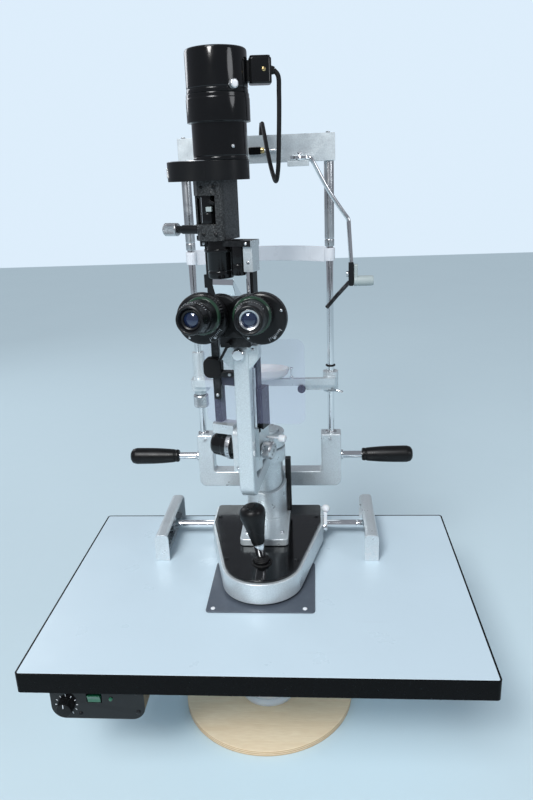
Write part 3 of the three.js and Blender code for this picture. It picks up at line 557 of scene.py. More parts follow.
def refine(node, finish, bevel, angle=38, segments=3, name=None):
    """A copy of a CAD node with its flat faces merged and its edges rounded."""
    mesh = NODES[node].data.copy()
    work = bmesh.new()
    work.from_mesh(mesh)
    bmesh.ops.remove_doubles(work, verts=work.verts, dist=2e-6)
    bmesh.ops.dissolve_limit(
        work, angle_limit=math.radians(0.4), verts=work.verts, edges=work.edges, use_dissolve_boundaries=False
    )
    bmesh.ops.recalc_face_normals(work, faces=work.faces)
    work.to_mesh(mesh)
    work.free()
    part = Part(Matrix.Identity(4), BODY_OF[node])
    return part.piece(name or f"{node}_body", mesh, finish, node, bevel, angle, segments)


def slotted_head(radius):
    """A pan-head screw with one slot."""
    head = lathe_mesh(
        [(0, -0.5), (radius, -0.5), (radius, radius * 0.25), (radius * 0.6, radius * 0.5),
            (0, radius * 0.58)], 0.25, 32,
    )
    slot = block_mesh(-radius - 1, radius + 1, -radius * 0.13, radius * 0.13, radius * 0.25, radius * 2)
    return combined(head, [slot])


def socket_head(radius):
    """A cap screw with a hexagon socket."""
    head = lathe_mesh([(0, -0.5), (radius, -0.5), (radius, radius * 0.7), (0, radius * 0.7)], 0.35, 36)
    hexagon = [
        (radius * 0.55 * math.cos(math.radians(60 * i)), radius * 0.55 * math.sin(math.radians(60 * i)))
        for i in range(6)
    ]
    return combined(head, [prism_mesh(hexagon, radius * 0.15, radius * 2)])


SCREWS = {"slot": slotted_head, "socket": socket_head}
screw_meshes = {}


STAND = Part(BENCH, "stand")
BASE = Part(BENCH, "base")
LOCK_LEVER = Part(BENCH, "lock_lever")
JOYSTICK_GRIP = Part(BENCH, "joystick_grip")
CHIN_REST = Part(BENCH, "chin_rest")
FIXATION_ARM = Part(BENCH, "fixation_arm")
FIXATION_LAMP = Part(BENCH, "fixation_lamp")
MICROSCOPE = Part(SCOPE, "microscope")
LAMP_ARM = Part(LAMP, "illumination_arm")
SLIT_CONTROL = Part(LAMP, "slit_control")
TOWER = Part(LAMP, "tower")
APERTURE_LEVER = Part(LAMP, "aperture_lever")
LAMP_CAP = Part(LAMP, "lamp_cap")

# ---- the lamp's cable

CABLE_DIAMETER = 0.006
CABLE_ROUTE = [
    (36.5, 250.5, 706),
    (41.5, 251.5, 700),
    (42, 256, 680),
    (40, 262, 628),
    (37, 274, 588),
    (33, 291, 574),
    (28, 310, 583),
    (20, 345, 610),
    (12, 390, 643),
    (8, 418, 656),
    (6, 433, 652),
    (6, 436, 641.2),
]


def smooth_route(points, steps=16):
    """Points along a centripetal Catmull-Rom curve through the given points."""
    route = [Vector(p) for p in points]
    ends = [2 * route[0] - route[1], *route, 2 * route[-1] - route[-2]]
    out = []
    for a, b, c, d in zip(ends, ends[1:], ends[2:], ends[3:]):
        t1 = (b - a).length ** 0.5
        t2 = t1 + (c - b).length ** 0.5
        t3 = t2 + (d - c).length ** 0.5
        for i in range(steps):
            t = t1 + (t2 - t1) * i / steps
            a1 = (t1 - t) / t1 * a + t / t1 * b
            a2 = (t2 - t) / (t2 - t1) * b + (t - t1) / (t2 - t1) * c
            a3 = (t3 - t) / (t3 - t2) * c + (t - t2) / (t3 - t2) * d
            b1 = (t2 - t) / t2 * a1 + t / t2 * a2
            b2 = (t3 - t) / (t3 - t1) * a2 + (t - t1) / (t3 - t1) * a3
            out.append((t2 - t) / (t2 - t1) * b1 + (t - t1) / (t2 - t1) * b2)
    out.append(route[-1])
    return out


def make_cable():
    line = [BENCH @ p for p in smooth_route(CABLE_ROUTE)]
    data = bpy.data.curves.new("lamp_lead", "CURVE")
    data.dimensions = "3D"
    data.bevel_depth = CABLE_DIAMETER / 2
    data.bevel_resolution = 6
    data.use_fill_caps = True
    spline = data.splines.new("POLY")
    spline.points.add(len(line) - 1)
    for point, place in zip(spline.points, line):
        point.co = (*place, 1)
    data.materials.append(MATERIALS["black_rubber"])
    cable = bpy.data.objects.new("lamp_lead", data)
    bpy.context.scene.collection.objects.link(cable)
    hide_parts("lamp_cable")
    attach(cable, "stand")
    boot = [(3.1, 0), (4.8, 0), (4.8, 3), (4.1, 12), (3.4, 18), (3.1, 18)]
    sleeve = STAND.turned("lamp_lead_boot", boot, (6, 436, 640.2), UP, "black_rubber", fillet=0.4)


# ---- stand and table


def make_stand():
    STAND.turned(
        "foot_disc", rod(132, 9), (0, 225, -216), UP, "birch_plywood", "pedestal_disc", 0.8, 192,
    )
    STAND.turned(
        "foot_post", [(0, 0), (38, 0), (38, 172.4), (75, 172.4), (75, 178.4), (0, 178.4)],
        (0, 225, -206.7), UP, "white_plastic", "pedestal_post", 1.2,
    )
    STAND.turned(
        "foot_collar", [(38, 0), (44, 0), (44, 4), (40, 9), (38, 9)], (0, 225, -206.9), UP,
        "white_plastic", fillet=0.8,
    )
    refine("table_top", "white_laminate", 0.6, segments=2, name="bench_top")
    refine("table_edge_band", "edge_band", 0.6, segments=2, name="bench_edge")


def make_power_supply():
    refine("power_supply_case", "black_gloss_plastic", 1.2)
    STAND.prism(
        "power_supply_seam", rectangle(-264.2, -140.8, 61.6, 62.4), -68, -29, "XY", "black_rubber",
    )
    STAND.screws(
        "power_supply_screw", "slot", 3.0,
        [(-255, 12, -36), (-150, 12, -36), (-150, 12, -66), (-226, 12, -70)], FRONT, "black_satin",
    )
    for i in range(11):
        tick = block_mesh(-0.4, 0.4, 11.75, 12.4, 12.6, 15.0 if i % 5 else 16.2)
        tick.transform(spin(-150 + 30 * i, "Y"))
        tick.transform(shift((-243, 0, -56)))
        STAND.piece(f"dimmer_tick_{i + 1}", tick, "white_plastic")
    STAND.turned(
        "power_lamp", [(0, 0), (2.6, 0), (2.6, 1), (1.8, 2.4), (0, 2.9)], (-184, 12, -46), FRONT,
        "switch_green", fillet=0.3, segments=32,
    )
    dimmer = Part(BENCH, "dimmer_knob")
    dimmer.turned(
        "dimmer_knob_body",
        [(0, -9), (3, -9), (3, 0.3), (11, 0.3), (10.8, 2.5), (10.2, 9.5), (9.6, 12), (0, 12)],
        (-243, 12, -56), FRONT, "black_plastic", "dimmer_knob", 0.5, 144, ((2.5, 9.5, 24, 0.7),),
    )
    dimmer.piece("dimmer_pointer", block_mesh(-243.5, -242.5, -0.25, 0.35, -52, -46.6), "white_plastic")
    refine("power_switch", "switch_green", 0.6)


# ---- rails, axle and base


def make_rails():
    for side, sign in SIDES:
        middle = sign * 166
        outline = [(middle - 11, 0.3), (middle + 11, 0.3)]
        outline += arc(middle + 4, 38, 7, 0, 90) + arc(middle - 4, 38, 7, 90, 180)
        outer = prism_mesh(outline, 268, 414, "XZ")
        x0, x1 = sorted((sign * 150, sign * 174))
        STAND.piece(
            f"rail_{side}", combined(outer, [block_mesh(x0, x1, 271, 411, -5, 42)]), "silver_casting",
            f"rail_cover_{side}", 1.0, 35,
        )
        refine(f"rack_{side}", "satin_steel", 0.12, 25, 2)
        refine(f"pinion_{side}", "satin_steel", 0.15, 25, 2)
        STAND.screws(
            f"rail_screw_{side}", "socket", 2.6, [(sign * 177, 290, 14), (sign * 177, 392, 14)],
            (sign, 0, 0), "satin_steel",
        )
    groove = []
    for radius, height in ((6.5, 24), (6.1, 25), (6.5, 26)):
        groove.append((radius, height))
    profile = [(0, 0), (6.5, 0)] + groove + [(r, 344 - h) for r, h in reversed(groove)]
    profile += [(6.5, 344), (0, 344)]
    Part(BENCH, "axle").turned(
        "axle_bar", profile, (-172, 350, 22), RIGHT, "chrome_steel", "axle", 0.6, 64,
    )


def base_outline(inset, steps=48):
    """The base seen from above: square at the back, tapering to a round nose."""
    half, nose, rear = 91 - inset, 60 - inset, 384 - inset
    taper = math.degrees(math.asin((91 - 60) / math.hypot(91 - 60, 320 - 201)))
    front = arc(0, 201, nose, 180 + taper, 360 - taper, steps)
    corner = 5
    left_rear = arc(-half + corner, rear - corner, corner, 90, 180, 6)
    right_rear = arc(half - corner, rear - corner, corner, 0, 90, 6)
    return [*left_rear, (-half, 320), *front, (half, 320), *right_rear]


def make_base():
    STAND.prism(
        "slide_plate_body", rounded_rectangle(154, 129, 5, 0, 194.5), 0.3, 2.3, "XY", "slate_plate",
        "slide_plate", 0.4,
    )
    STAND.screws(
        "slide_plate_screw", "slot", 3.2,
        [(-67, 137.3, 2.3), (63.1, 137.8, 2.3), (-69, 252, 2.3), (69, 252, 2.3)], UP, "white_plastic",
    )

    axle_hole = lathe_mesh(rod(7, 240), 0, 48)
    axle_hole.transform(axis_matrix((-120, 350, 22), RIGHT))
    socket = lathe_mesh(rod(14, 20), 0, 64)
    socket.transform(shift((0, 195, 31)))
    hollow = prism_mesh(base_outline(6), 0, 33)
    BASE.piece(
        "base_shell", combined(prism_mesh(base_outline(0), 6, 38), [hollow, axle_hole, socket]),
        "silver_casting", "base_casting", 1.6, 35, 4,
    )
    BASE.turned("base_foot", rod(9, 32), (0, 225, 2.8), UP, "satin_steel", fillet=1.5, segments=48)
    for x in (-91, 91):
        BASE.turned(
            f"axle_bush_{'left' if x < 0 else 'right'}",
            [(7, -2), (10.5, -2), (10.5, 1.6), (7, 1.6), (7, -2)], (x, 350, 22),
            (math.copysign(1, x), 0, 0), "satin_steel", fillet=0.4, segments=64,
        )
    cover_hole = lathe_mesh(rod(14, 20), 0, 64)
    cover_hole.transform(shift((0, 195, 35)))
    BASE.piece(
        "base_lid", combined(prism_mesh(base_outline(4), 38.3, 42.3), [cover_hole]), "black_lacquer",
        "base_cover", 1.1, 35, 4,
    )
    BASE.screws(
        "base_lid_screw", "slot", 3.4,
        [(-79.3, 335.6, 42.3), (79.3, 335.6, 42.3), (-54, 204, 42.3), (51, 201, 42.3),
            (-40, 372, 42.3)], UP, "black_gloss_plastic",
    )
    BASE.turned(
        "socket_rim", [(12.4, 0), (15.6, 0), (15.6, 1.3), (14.4, 1.9), (12.4, 1.9), (12.4, 0)],
        (0, 195, 42), UP, "black_rubber", fillet=0.4,
    )

    hub = (91.3, 325, 30)
    LOCK_LEVER.turned(
        "lock_lever_hub", [(0, -8), (4, -8), (4, 0), (7, 0), (7, 6), (3.2, 6), (3.2, 5), (0, 5)], hub,
        RIGHT, "chrome_steel", "lock_lever", 0.5, 64,
    )
    LOCK_LEVER.prism(
        "lock_lever_bar", rounded_rectangle(9, 34, 3, hub[1], hub[2] + 11), hub[0] + 0.5, hub[0] + 6.5,
        "YZ", "white_plastic", bevel=1.2,
    )
    knob = [(0, -7)] + [(r, z) for r, z in arc(0, 0, 6.6, -75, 75, 14)] + [(0, 7)]
    LOCK_LEVER.turned(
        "lock_lever_knob", knob, (hub[0] + 4.5, hub[1], hub[2] + 33), UP, "white_plastic", fillet=0,
        segments=48,
    )


def make_column():
    BASE.prism(
        "column_foot", rounded_rectangle(74, 138, 7, 0, 309), 42.6, 54, "XY", "silver_casting",
        "column", 1.6, 35, 4,
    )
    body = lathe_mesh(rod(32.5, 100), 0, 128)
    body.transform(shift((0, COLUMN_Y, 53)))
    slope = math.atan2(25, 65)
    lid = block_mesh(-60, 60, -80, 80, 0, 80)
    lid.transform(shift((0, COLUMN_Y, 112.5)) @ Matrix.Rotation(slope, 4, "X"))
    bore = lathe_mesh(rod(27.4, 100), 0, 96)
    bore.transform(shift((0, COLUMN_Y, 64)))
    BASE.piece("column_body", combined(body, [lid, bore]), "silver_casting", None, 1.4, 35, 4)
    BASE.screws(
        "column_screw", "socket", 3.4,
        [(26.9, 260.1, 54), (27.9, 328.3, 54), (-26.9, 260.1, 54), (-27.9, 328.3, 54)], UP,
    )
    BASE.prism(
        "column_rack_cover", rounded_rectangle(9, 14, 1.5, 35.5, 342), 54, 146, "XY", "black_satin",
        bevel=0.8,
    )
    Part(BENCH, "lift").turned(
        "lift_tube_body", [(0, 0), (27, 0), (27, 82.6), (22, 82.6), (22, 134), (0, 134)],
        (0, COLUMN_Y, 66), UP, "silver_casting", "lift_tube", 0.8, 128,
    )


def make_joystick():
    lean = math.radians(8)
    axis = Vector((-math.sin(lean), 0, math.cos(lean)))
    at = Vector((0, 195, 46))
    gaiter = [(0, -9), (6, -8), (10, -4), (11.5, 0.5), (10.4, 1.6), (11.0, 2.6), (8.8, 3.6), (8.9, 4.6)]
    gaiter += [(6.6, 5.2), (6.4, 6), (0, 6)]
    Part(BENCH, "joystick_gimbal").turned(
        "joystick_gaiter", gaiter, at, axis, "black_rubber", "joystick_ball", 0.4,
    )
    Part(BENCH, "joystick").turned(
        "joystick_shaft", [(0, 0), (6.6, 0), (7.2, 3), (8, 14), (8, 20), (4, 20), (4, 54), (0, 54)],
        at + axis * 7.6, axis, "chrome_steel", "joystick_stem", 0.7,
    )
    grip = [(4.3, 0), (8.6, 0), (9.6, 2), (10.4, 8), (12.2, 17), (14.4, 28), (16.8, 37), (18.4, 43)]
    grip += [(19.0, 48), (18.6, 53), (16.6, 57), (12.5, 60), (8, 61), (0, 61.2)]
    JOYSTICK_GRIP.turned(
        "joystick_knob", grip, at + axis * 28, axis, "black_plastic", "joystick_grip", 1.6, 128,
    )
    JOYSTICK_GRIP.turned(
        "joystick_button", [(0, 59.6), (6.4, 59.6), (6.4, 61.6), (5.2, 62.2), (0, 62.3)],
        at + axis * 28, axis, "black_rubber", fillet=0.5,
    )
    JOYSTICK_GRIP.turned(
        "joystick_ferrule", [(4.2, -1.4), (8.2, -1.4), (8.6, -0.4), (8.6, 1.6), (4.2, 1.6)],
        at + axis * 28, axis, "chrome_steel", fillet=0.4,
    )


# ---- chin and forehead rest

REST_X, REST_Y = -4.5, 437.5
ROD_X = {"left": REST_X - 112, "right": REST_X + 112}


def make_headrest():
    low, cross, top = 57, 85, 154
    outer = arc(-113.5, low + 13, 13, 180, 270) + arc(111.5, low + 13, 13, 270, 360)
    inner = arc(86, cross + 4, 4, 0, -90) + arc(-95, cross + 4, 4, 270, 180)
    outline = [(-126.5, top), *outer, (124.5, top), (90, top), *inner, (-99, top)]
    STAND.piece(
        "rest_frame", prism_mesh(outline, 423.5, 451.5, "XZ"), "silver_casting", "headrest_frame", 2.2,
        35, 4,
    )
    refine("headrest_bracket", "silver_casting", 1.6, 30, 4)
    refine("headrest_top_bar", "silver_casting", 1.8, 35, 4, "rest_top_bar")
    STAND.screws(
        "rest_frame_screw", "socket", 3.0, [(105.3, 423.5, 146), (-112, 423.5, 146)], FRONT,
        "satin_steel",
    )
    STAND.screws(
        "rest_bar_screw", "socket", 3.2,
        [(ROD_X["left"], REST_Y, 640), (ROD_X["right"] - 1, REST_Y, 640)], UP, "satin_steel",
    )
    STAND.screws(
        "rest_bracket_screw", "socket", 3.6, [(REST_X - 17, 451.5, 66), (REST_X + 17, 451.5, 66)], REAR,
        "satin_steel",
    )
    STAND.prism(
        "lead_jack", rounded_rectangle(19, 11, 2, -5, 618), 420.5, 425.5, "XZ", "black_gloss_plastic",
        bevel=0.8,
    )
    STAND.turned(
        "lead_jack_collar", [(0, 0), (4.2, 0), (4.2, 4.6), (3.4, 5.4), (0, 5.4)], (4.4, 421.2, 618),
        RIGHT, "brass", fillet=0.3, segments=72,
    )
    STAND.turned(
        "lead_jack_pin",
        [(0, 0), (1.7, 0), (1.7, 8), (1.3, 8.6), (1.3, 9.4), (1.7, 10), (1.7, 17), (0.6, 19),
            (0, 19.2)], (9.6, 421.4, 618), RIGHT, "chrome_steel", fillet=0.2, segments=40,
    )
    for side, sign in SIDES:
        x = ROD_X[side]
        STAND.turned(
            f"rest_rod_{side}", rod(5.8, 347), (x, REST_Y, 124.3), UP, "chrome_steel",
            f"headrest_rod_{side}", 0.5,
        )
        sleeve = [
            (5, 0), (7.6, 0), (7.6, 10), (7.2, 11), (7.2, 12), (7.6, 13), (7.6, 128.7), (5, 128.7)
        ]
        STAND.turned(f"rest_sleeve_{side}", sleeve, (x, REST_Y, 471), UP, "satin_steel", fillet=0.6)
        STAND.turned(
            f"rest_socket_{side}", ring_profile(5.6, 9.4, 2.4), (x, REST_Y, 153.6), UP, "satin_steel",
            fillet=0.6,
        )
        STAND.turned(
            f"band_clamp_{side}", ring_profile(5.9, 8.6, 20), (x, REST_Y, 448), UP, "milky_band",
            fillet=0.9,
        )
        make_handle(side, sign)
    CHIN_REST.turned(
        "rod_stop_ring", [(5.7, 0), (7.9, 0.8), (8.4, 2), (7.9, 3.2), (5.7, 4)],
        (ROD_X["right"], REST_Y, 272), UP, "black_rubber", fillet=0.8,
    )
    make_band()


def make_handle(side, sign):
    start = -126.8 if sign < 0 else 124.8
    STAND.turned(
        f"handle_shaft_{side}", [(0, 0), (8.5, 0), (8.5, 3), (6, 4), (6, 40), (0, 40)],
        (start, REST_Y, 111), (sign, 0, 0), "chrome_steel", f"handle_{side}", 0.6,
    )
    grip = [(5, 36), (9.6, 36), (11, 37.6), (11.2, 41), (10.6, 42.5), (11.6, 45)]
    grip += [
        (12.6, 56), (13.5, 68), (14.2, 84), (14.5, 106), (14.4, 114), (12.6, 120), (8, 123.4), (0, 124)
    ]
    STAND.turned(
        f"handle_grip_{side}", grip, (start, REST_Y, 111), (sign, 0, 0), "black_plastic", fillet=1.2,
        segments=144,
    )


def make_band():
    reach, bulge, thickness, steps = 105.2, 40, 2, 48
    front, back = [], []
    for i in range(steps + 1):
        t = i / steps
        x = -reach + 2 * reach * t
        lift = 4 * bulge * t * (1 - t)
        front.append((REST_X + x, REST_Y + lift))
        back.append((REST_X + x, REST_Y + lift + thickness))
    STAND.prism(
        "brow_band", front + back[::-1], 446, 470.5, "XY", "milky_band", "forehead_band", 0.7, 40,
    )


def make_chin_rest():
    refine("chin_carrier", "silver_casting", 1.1, 42, 3)
    tray = [
        (0, 0), (28, 0), (34, 1.4), (40, 6), (42.6, 13), (43, 15.4), (42.2, 16.6), (40.4, 16.4),
        (39, 15)
    ]
    tray += [(35.6, 10.2), (28, 7.2), (14, 5.6), (0, 5)]
    CHIN_REST.piece(
        "chin_tray", lathe_mesh(tray, 0.8, 128), "white_plastic", "chin_cup",
        pose=shift((REST_X, REST_Y - 16, 258.6)) @ Matrix.Diagonal((1, 0.62, 1, 1)),
    )
    for i, x in enumerate((-30, 30)):
        CHIN_REST.turned(
            f"paper_pin_{i + 1}",
            [(0, 0), (3.4, 0), (3.4, 3), (1.6, 4), (1.6, 15), (2.6, 16), (2.6, 19), (0, 19.6)],
            (REST_X + x * 1.55, REST_Y - 22, 257.6), UP, "chrome_steel", fillet=0.4, segments=40,
        )
    CHIN_REST.turned(
        "chin_clamp_knob",
        [(0, 0), (2.4, 0), (2.4, 5), (6.2, 5), (6.8, 7), (6.8, 12), (5.6, 14), (0, 14.4)],
        (ROD_X["right"] - 49, REST_Y - 18.5, 241), FRONT, "black_plastic", fillet=0.5, segments=120,
        flutes=((7, 12, 15, 0.7),),
    )
    CHIN_REST.piece(
        "chin_lever", curve_mesh([(0, 0, 0), (8, -3, 1), (16, -6, 0), (24, -7, -2)], 1.8),
        "chrome_steel", pose=shift((ROD_X["right"] - 4, REST_Y - 12, 234)),
    )
    Part(BENCH, "chin_height_ring").turned(
        "chin_ring", [(6.3, 0), (11.5, 0), (13, 2.4), (13, 19.6), (11.5, 22), (6.3, 22), (6.3, 0)],
        (ROD_X["left"], REST_Y, 204), UP, "satin_steel", "chin_height_ring", 0.4, 240,
        ((3.2, 18.8, 40, 0.8),),
    )


def make_fixation_lamp():
    swivel = Vector((63.5, REST_Y - 28, 601))
    elbow, foot = Vector((136, 403, 514)), Vector((140, 400, 449))
    FIXATION_ARM.turned(
        "fixation_swivel",
        [(0, 0.3), (14, 0.3), (14.5, 3), (14, 7), (8, 9), (4, 9.4), (4, 12), (0, 12)], swivel, UP,
        "chrome_steel", "fixation_arm", 0.6, 144, ((2.6, 6.8, 36, 0.5),),
    )
    points = [
        swivel + Vector((6, -2, 5)), swivel + Vector((15, -7, 5)), swivel + Vector((19, -8.2, 0)),
        swivel.lerp(elbow, 0.5) + Vector((4, -2, 2)), elbow.lerp(swivel, 0.08), elbow,
        elbow.lerp(foot, 0.12), foot
    ]
    FIXATION_ARM.piece("fixation_tube", curve_mesh(points, 3.2, 8), "chrome_steel")
    FIXATION_ARM.prism(
        "fixation_link", rounded_rectangle(8, 37, 2.5, 140, 431), 395, 405, "XZ", "black_satin",
        bevel=0.8,
    )
    FIXATION_ARM.piece(
        "fixation_strut",
        curve_mesh([(137, 400, 418), (118, 409, 396), (102, 417, 376)], 3.3, 8, False), "black_satin",
    )
    FIXATION_ARM.turned(
        "fixation_pivot", [(0, 0), (4.4, 0), (4.4, 3.4), (0, 3.6)], (136, 400, 431), LEFT,
        "satin_steel", fillet=0.4, segments=48,
    )
    FIXATION_LAMP.prism(
        "fixation_cheek", rounded_rectangle(12, 26, 3, 400, 433), 144.5, 150, "YZ", "grey_plastic",
        bevel=0.8,
    )
    FIXATION_LAMP.turned(
        "fixation_lamp_body",
        [(0, 0), (8, 0), (8, 5), (7.6, 6), (8, 7), (8, 26), (7.2, 30), (6.2, 30), (5.8, 28.4), (0, 28)],
        (144.5, 399, 420), RIGHT, "grey_plastic", "fixation_lamp", 0.4, 72,
    )
    FIXATION_LAMP.turned(
        "fixation_lens", [(0, 28), (5.6, 28), (4, 29), (0, 29.6)], (144.5, 399, 420), RIGHT,
        "lens_glass", fillet=0.2, segments=48,
    )


# ---- microscope


def make_microscope_arm():
    front, rear, low, hub_top, top = -158, -136, 149, 171, 374
    outline = [(-20, low), (-20, hub_top)]
    outline += arc(rear + 18, hub_top + 18, 18, -90, -180, 20)
    outline += [(rear, top), (front + 4, top), (front, top - 4)]
    outline += arc(front + 26, low + 26, 26, 180, 270, 24)
    MICROSCOPE.piece(
        "scope_limb", prism_mesh(outline, -8.5, 12.5, "YZ"), "silver_casting", "microscope_arm", 2.4,
        30, 4,
    )
    head = [(-8.5, 338), (12.5, 338), (26, 355), (26, top), (-26, top), (-26, 355)]
    MICROSCOPE.piece(
        "scope_yoke", prism_mesh(head, front + 2, rear + 0.3, "XZ"), "silver_casting", None, 2.2, 30, 4,
    )
    MICROSCOPE.turned(
        "scope_hub", ring_profile(22.4, 32, 22), (0, 0, low), UP, "silver_casting", fillet=1.6,
        segments=128,
    )
    Part(SCOPE, "arm_clamp_screw").turned(
        "scope_clamp", [(0, -16), (3, -16), (3, 0.3), (8, 0.3), (8, 7), (6.5, 8.5), (0, 8.5)],
        (0, front, 362), FRONT, "chrome_steel", "arm_clamp_screw", 0.5, 160, ((1.2, 6.4, 32, 0.5),),
    )
    MICROSCOPE.screws(
        "scope_yoke_screw", "slot", 2.4, [(-18, front + 2, 367), (18, front + 2, 367)], FRONT,
        "satin_steel",
    )


def make_microscope_body():
    back, front, optics = -134, -180, 415
    for side, sign in SIDES:
        barrel = [
            (0, 0), (15, 0), (15.6, 1.4), (19, 1.4), (19, 3), (22.4, 14), (27, 28), (27, 34), (26.4, 35)
        ]
        barrel += [(26.4, 36), (27, 37), (27, 46), (0, 46)]
        MICROSCOPE.turned(
            f"scope_barrel_{side}", barrel, (sign * 19, back, optics), FRONT, "black_satin",
            "microscope_body" if sign < 0 else None, 0.5,
        )
        MICROSCOPE.turned(
            f"scope_objective_{side}", [(0, -0.6), (14.4, -0.6), (10, 0.2), (0, 0.9)][::-1],
            (sign * 19, back, optics), REAR, "lens_glass", fillet=0,
        )
    MICROSCOPE.prism(
        "scope_core", rounded_rectangle(44, 46, 12, 0, optics - 4), front, back, "XZ", "black_satin",
        bevel=1.2,
    )
    MICROSCOPE.piece(
        "scope_saddle", block_mesh(-20, 20, front + 4, back - 2, 374.5, optics), "black_satin",
        bevel=1.8,
    )
    MICROSCOPE.turned(
        "scope_stud", rod(6, 6), (12, back + 5, 396), FRONT, "satin_steel", fillet=0.6, segments=48,
    )
    refine("magnification_lever", "black_plastic", 0.4, 42)
    for side, sign in SIDES:
        make_eyepiece(side, sign)


def make_eyepiece(side, sign):
    centre = Vector((sign * 37.5, -195, 415))
    case = Part(SCOPE, f"prism_{side}")
    case.turned(
        f"prism_case_{side}",
        [(0, 0), (29, 0), (31.2, 0.8), (32.3, 2.6), (32.3, 5.8), (31.8, 6.3), (31.8, 7.1),
            (32.3, 7.6)] + [(32.3, 12), (31.4, 13.6), (29.3, 14.5), (0, 14.5)], centre, REAR,
        "black_satin", f"prism_housing_{side}", 0.3, 160,
    )
    ring = [centre + Vector((28.2 * math.cos(a), 0, 28.2 * math.sin(a))) for a in (0.4, 1.75, 2.9, 4.1, 5.35)]
    if side == "left":
        del ring[1]
    case.screws(f"prism_screw_{side}", "slot", 1.7, ring, FRONT, "satin_steel")
    for i in range(9):
        case.piece(
            f"prism_tick_{side}_{i + 1}",
            block_mesh(-0.22, 0.22, -0.25, 0.3, 25.2, 29.6 if i % 4 == 0 else 27.6), "white_plastic",
            pose=shift(centre) @ spin(118 + 5 * i, "Y"),
        )

    splay = math.radians(6)
    eye = Vector((centre.x - sign * 8.3, centre.y - 3.4, 422))
    direction = (sign * math.sin(splay), -math.cos(splay), 0.07)
    body = f"eyepiece_{side}"
    barrel = [
        (0, 0), (23, 0), (24, 1.2), (24, 14), (21.4, 16.4), (20.2, 20), (19.6, 30), (19.4, 31),
        (19.6, 32)
    ]
    barrel += [(19.1, 40), (18.6, 41), (18.3, 46), (18, 48), (17.7, 54), (16.9, 56.4), (15.6, 57.2)]
    barrel += [(14.2, 56.8), (13.4, 54.4), (12.6, 51.2), (9.6, 50.6), (9.6, 49), (0, 49)]
    eyepiece = Part(SCOPE, body)
    eyepiece.turned(
        f"eyepiece_barrel_{side}", barrel, eye, direction, "black_satin", body, 0.35, 240,
        ((2.2, 13, 40, 0.9), (33, 39.4, 60, 0.45)),
    )
    eyepiece.turned(
        f"eyepiece_ring_{side}", [(22, 14.6), (23.6, 14.6), (23.0, 16.6), (21.0, 18.2), (20, 18.2)],
        eye, direction, "ring_green", fillet=0.2, segments=128,
    )
    # painted highlight: the right eyepiece's cell is bright steel and the left one's black, the steel
    # standing in for a glint on the right eyepiece
    eyepiece.turned(
        f"eyepiece_cell_{side}",
        [(9.4, 48.6), (12.6, 48.6), (12.6, 51.9), (11.4, 52.5), (9.4, 51.4), (9.4, 48.6)], eye,
        direction, "black_satin" if side == "left" else "satin_steel", fillet=0.3, segments=96,
    )
    eyepiece.turned(
        f"eyepiece_lens_{side}",
        [(0, 48.4), (9.6, 48.4), (9.4, 49.4), (6.6, 51), (3.4, 51.9), (0, 52.2)], eye, direction,
        "lens_glass", fillet=0.4, segments=96,
    )
    for i in range(13):
        eyepiece.piece(
            f"eyepiece_tick_{side}_{i + 1}",
            block_mesh(-0.2, 0.2, 19.5, 20.05, 42, 45.4 if i % 3 == 0 else 43.8), "white_plastic",
            pose=axis_matrix(eye, direction) @ spin(9 * i - 54, "Z"),
        )


def make_breath_shield():
    MICROSCOPE.prism(
        "shield_sheet", rounded_rectangle(138, 119, 12, 14, 316.5), -134, -131.5, "XZ", "clear_acrylic",
        "breath_shield", 0.5,
    )
    MICROSCOPE.prism(
        "shield_strip", rounded_rectangle(10, 99, 2, -36, 343.5), -142, -134.3, "XZ", "black_satin",
        "shield_bracket", 1.0,
    )
    MICROSCOPE.prism(
        "shield_pad", rounded_rectangle(25, 28, 9, -40, 339), -148, -134.3, "XZ", "black_rubber",
        bevel=2.4, segments=4,
    )
    MICROSCOPE.prism(
        "shield_link", rounded_rectangle(29, 8, 2, -25.5, 330), -146, -134.3, "XZ", "black_satin",
        bevel=1.0,
    )
    MICROSCOPE.screws(
        "shield_screw", "slot", 2.2, [(-36, -142, 388), (-36, -142, 300), (-17, -146, 330)], FRONT,
        "satin_steel",
    )


# ---- illumination

TOWER_Y = -100
TILT_Z = 208


def make_illumination_arm():
    LAMP_ARM.turned(
        "lamp_arm_hub", ring_profile(22.4, 31, 23), (0, 0, 173), UP, "silver_casting",
        "illumination_arm", 1.8, 128,
    )
    LAMP_ARM.piece(
        "lamp_arm_beam",
        combined(prism_mesh(rectangle(2, 26, TOWER_Y, -20), 175, 193),
            [lathe_bore(27, 40, (0, 0, 168), UP)], ), "silver_casting", None, 2.0, 35, 4,
    )
    low, high, radius = 174, TILT_Z + 30, 10
    outline = [(TOWER_Y - 15, low), (TOWER_Y + 15, low)]
    outline += arc(TOWER_Y + 15 - radius, high - radius, radius, 0, 90)
    outline += arc(TOWER_Y - 15 + radius, high - radius, radius, 90, 180)
    LAMP_ARM.piece(
        "lamp_arm_cheek",
        combined(prism_mesh(outline, 2, 34, "YZ"), [lathe_bore(3.6, 60, (-4, TOWER_Y, TILT_Z), RIGHT)]),
        "silver_casting", None, 2.2, 35, 4,
    )
    LAMP_ARM.screws(
        "lamp_arm_screw", "socket", 3.0, [(10, TOWER_Y - 15, 181), (26, TOWER_Y - 15, 181)], FRONT,
        "satin_steel",
    )


def lathe_bore(radius, length, at, direction, segments=48):
    mesh = lathe_mesh([(0, 0), (radius, 0), (radius, length), (0, length)], 0, segments)
    mesh.transform(axis_matrix(at, direction))
    return mesh


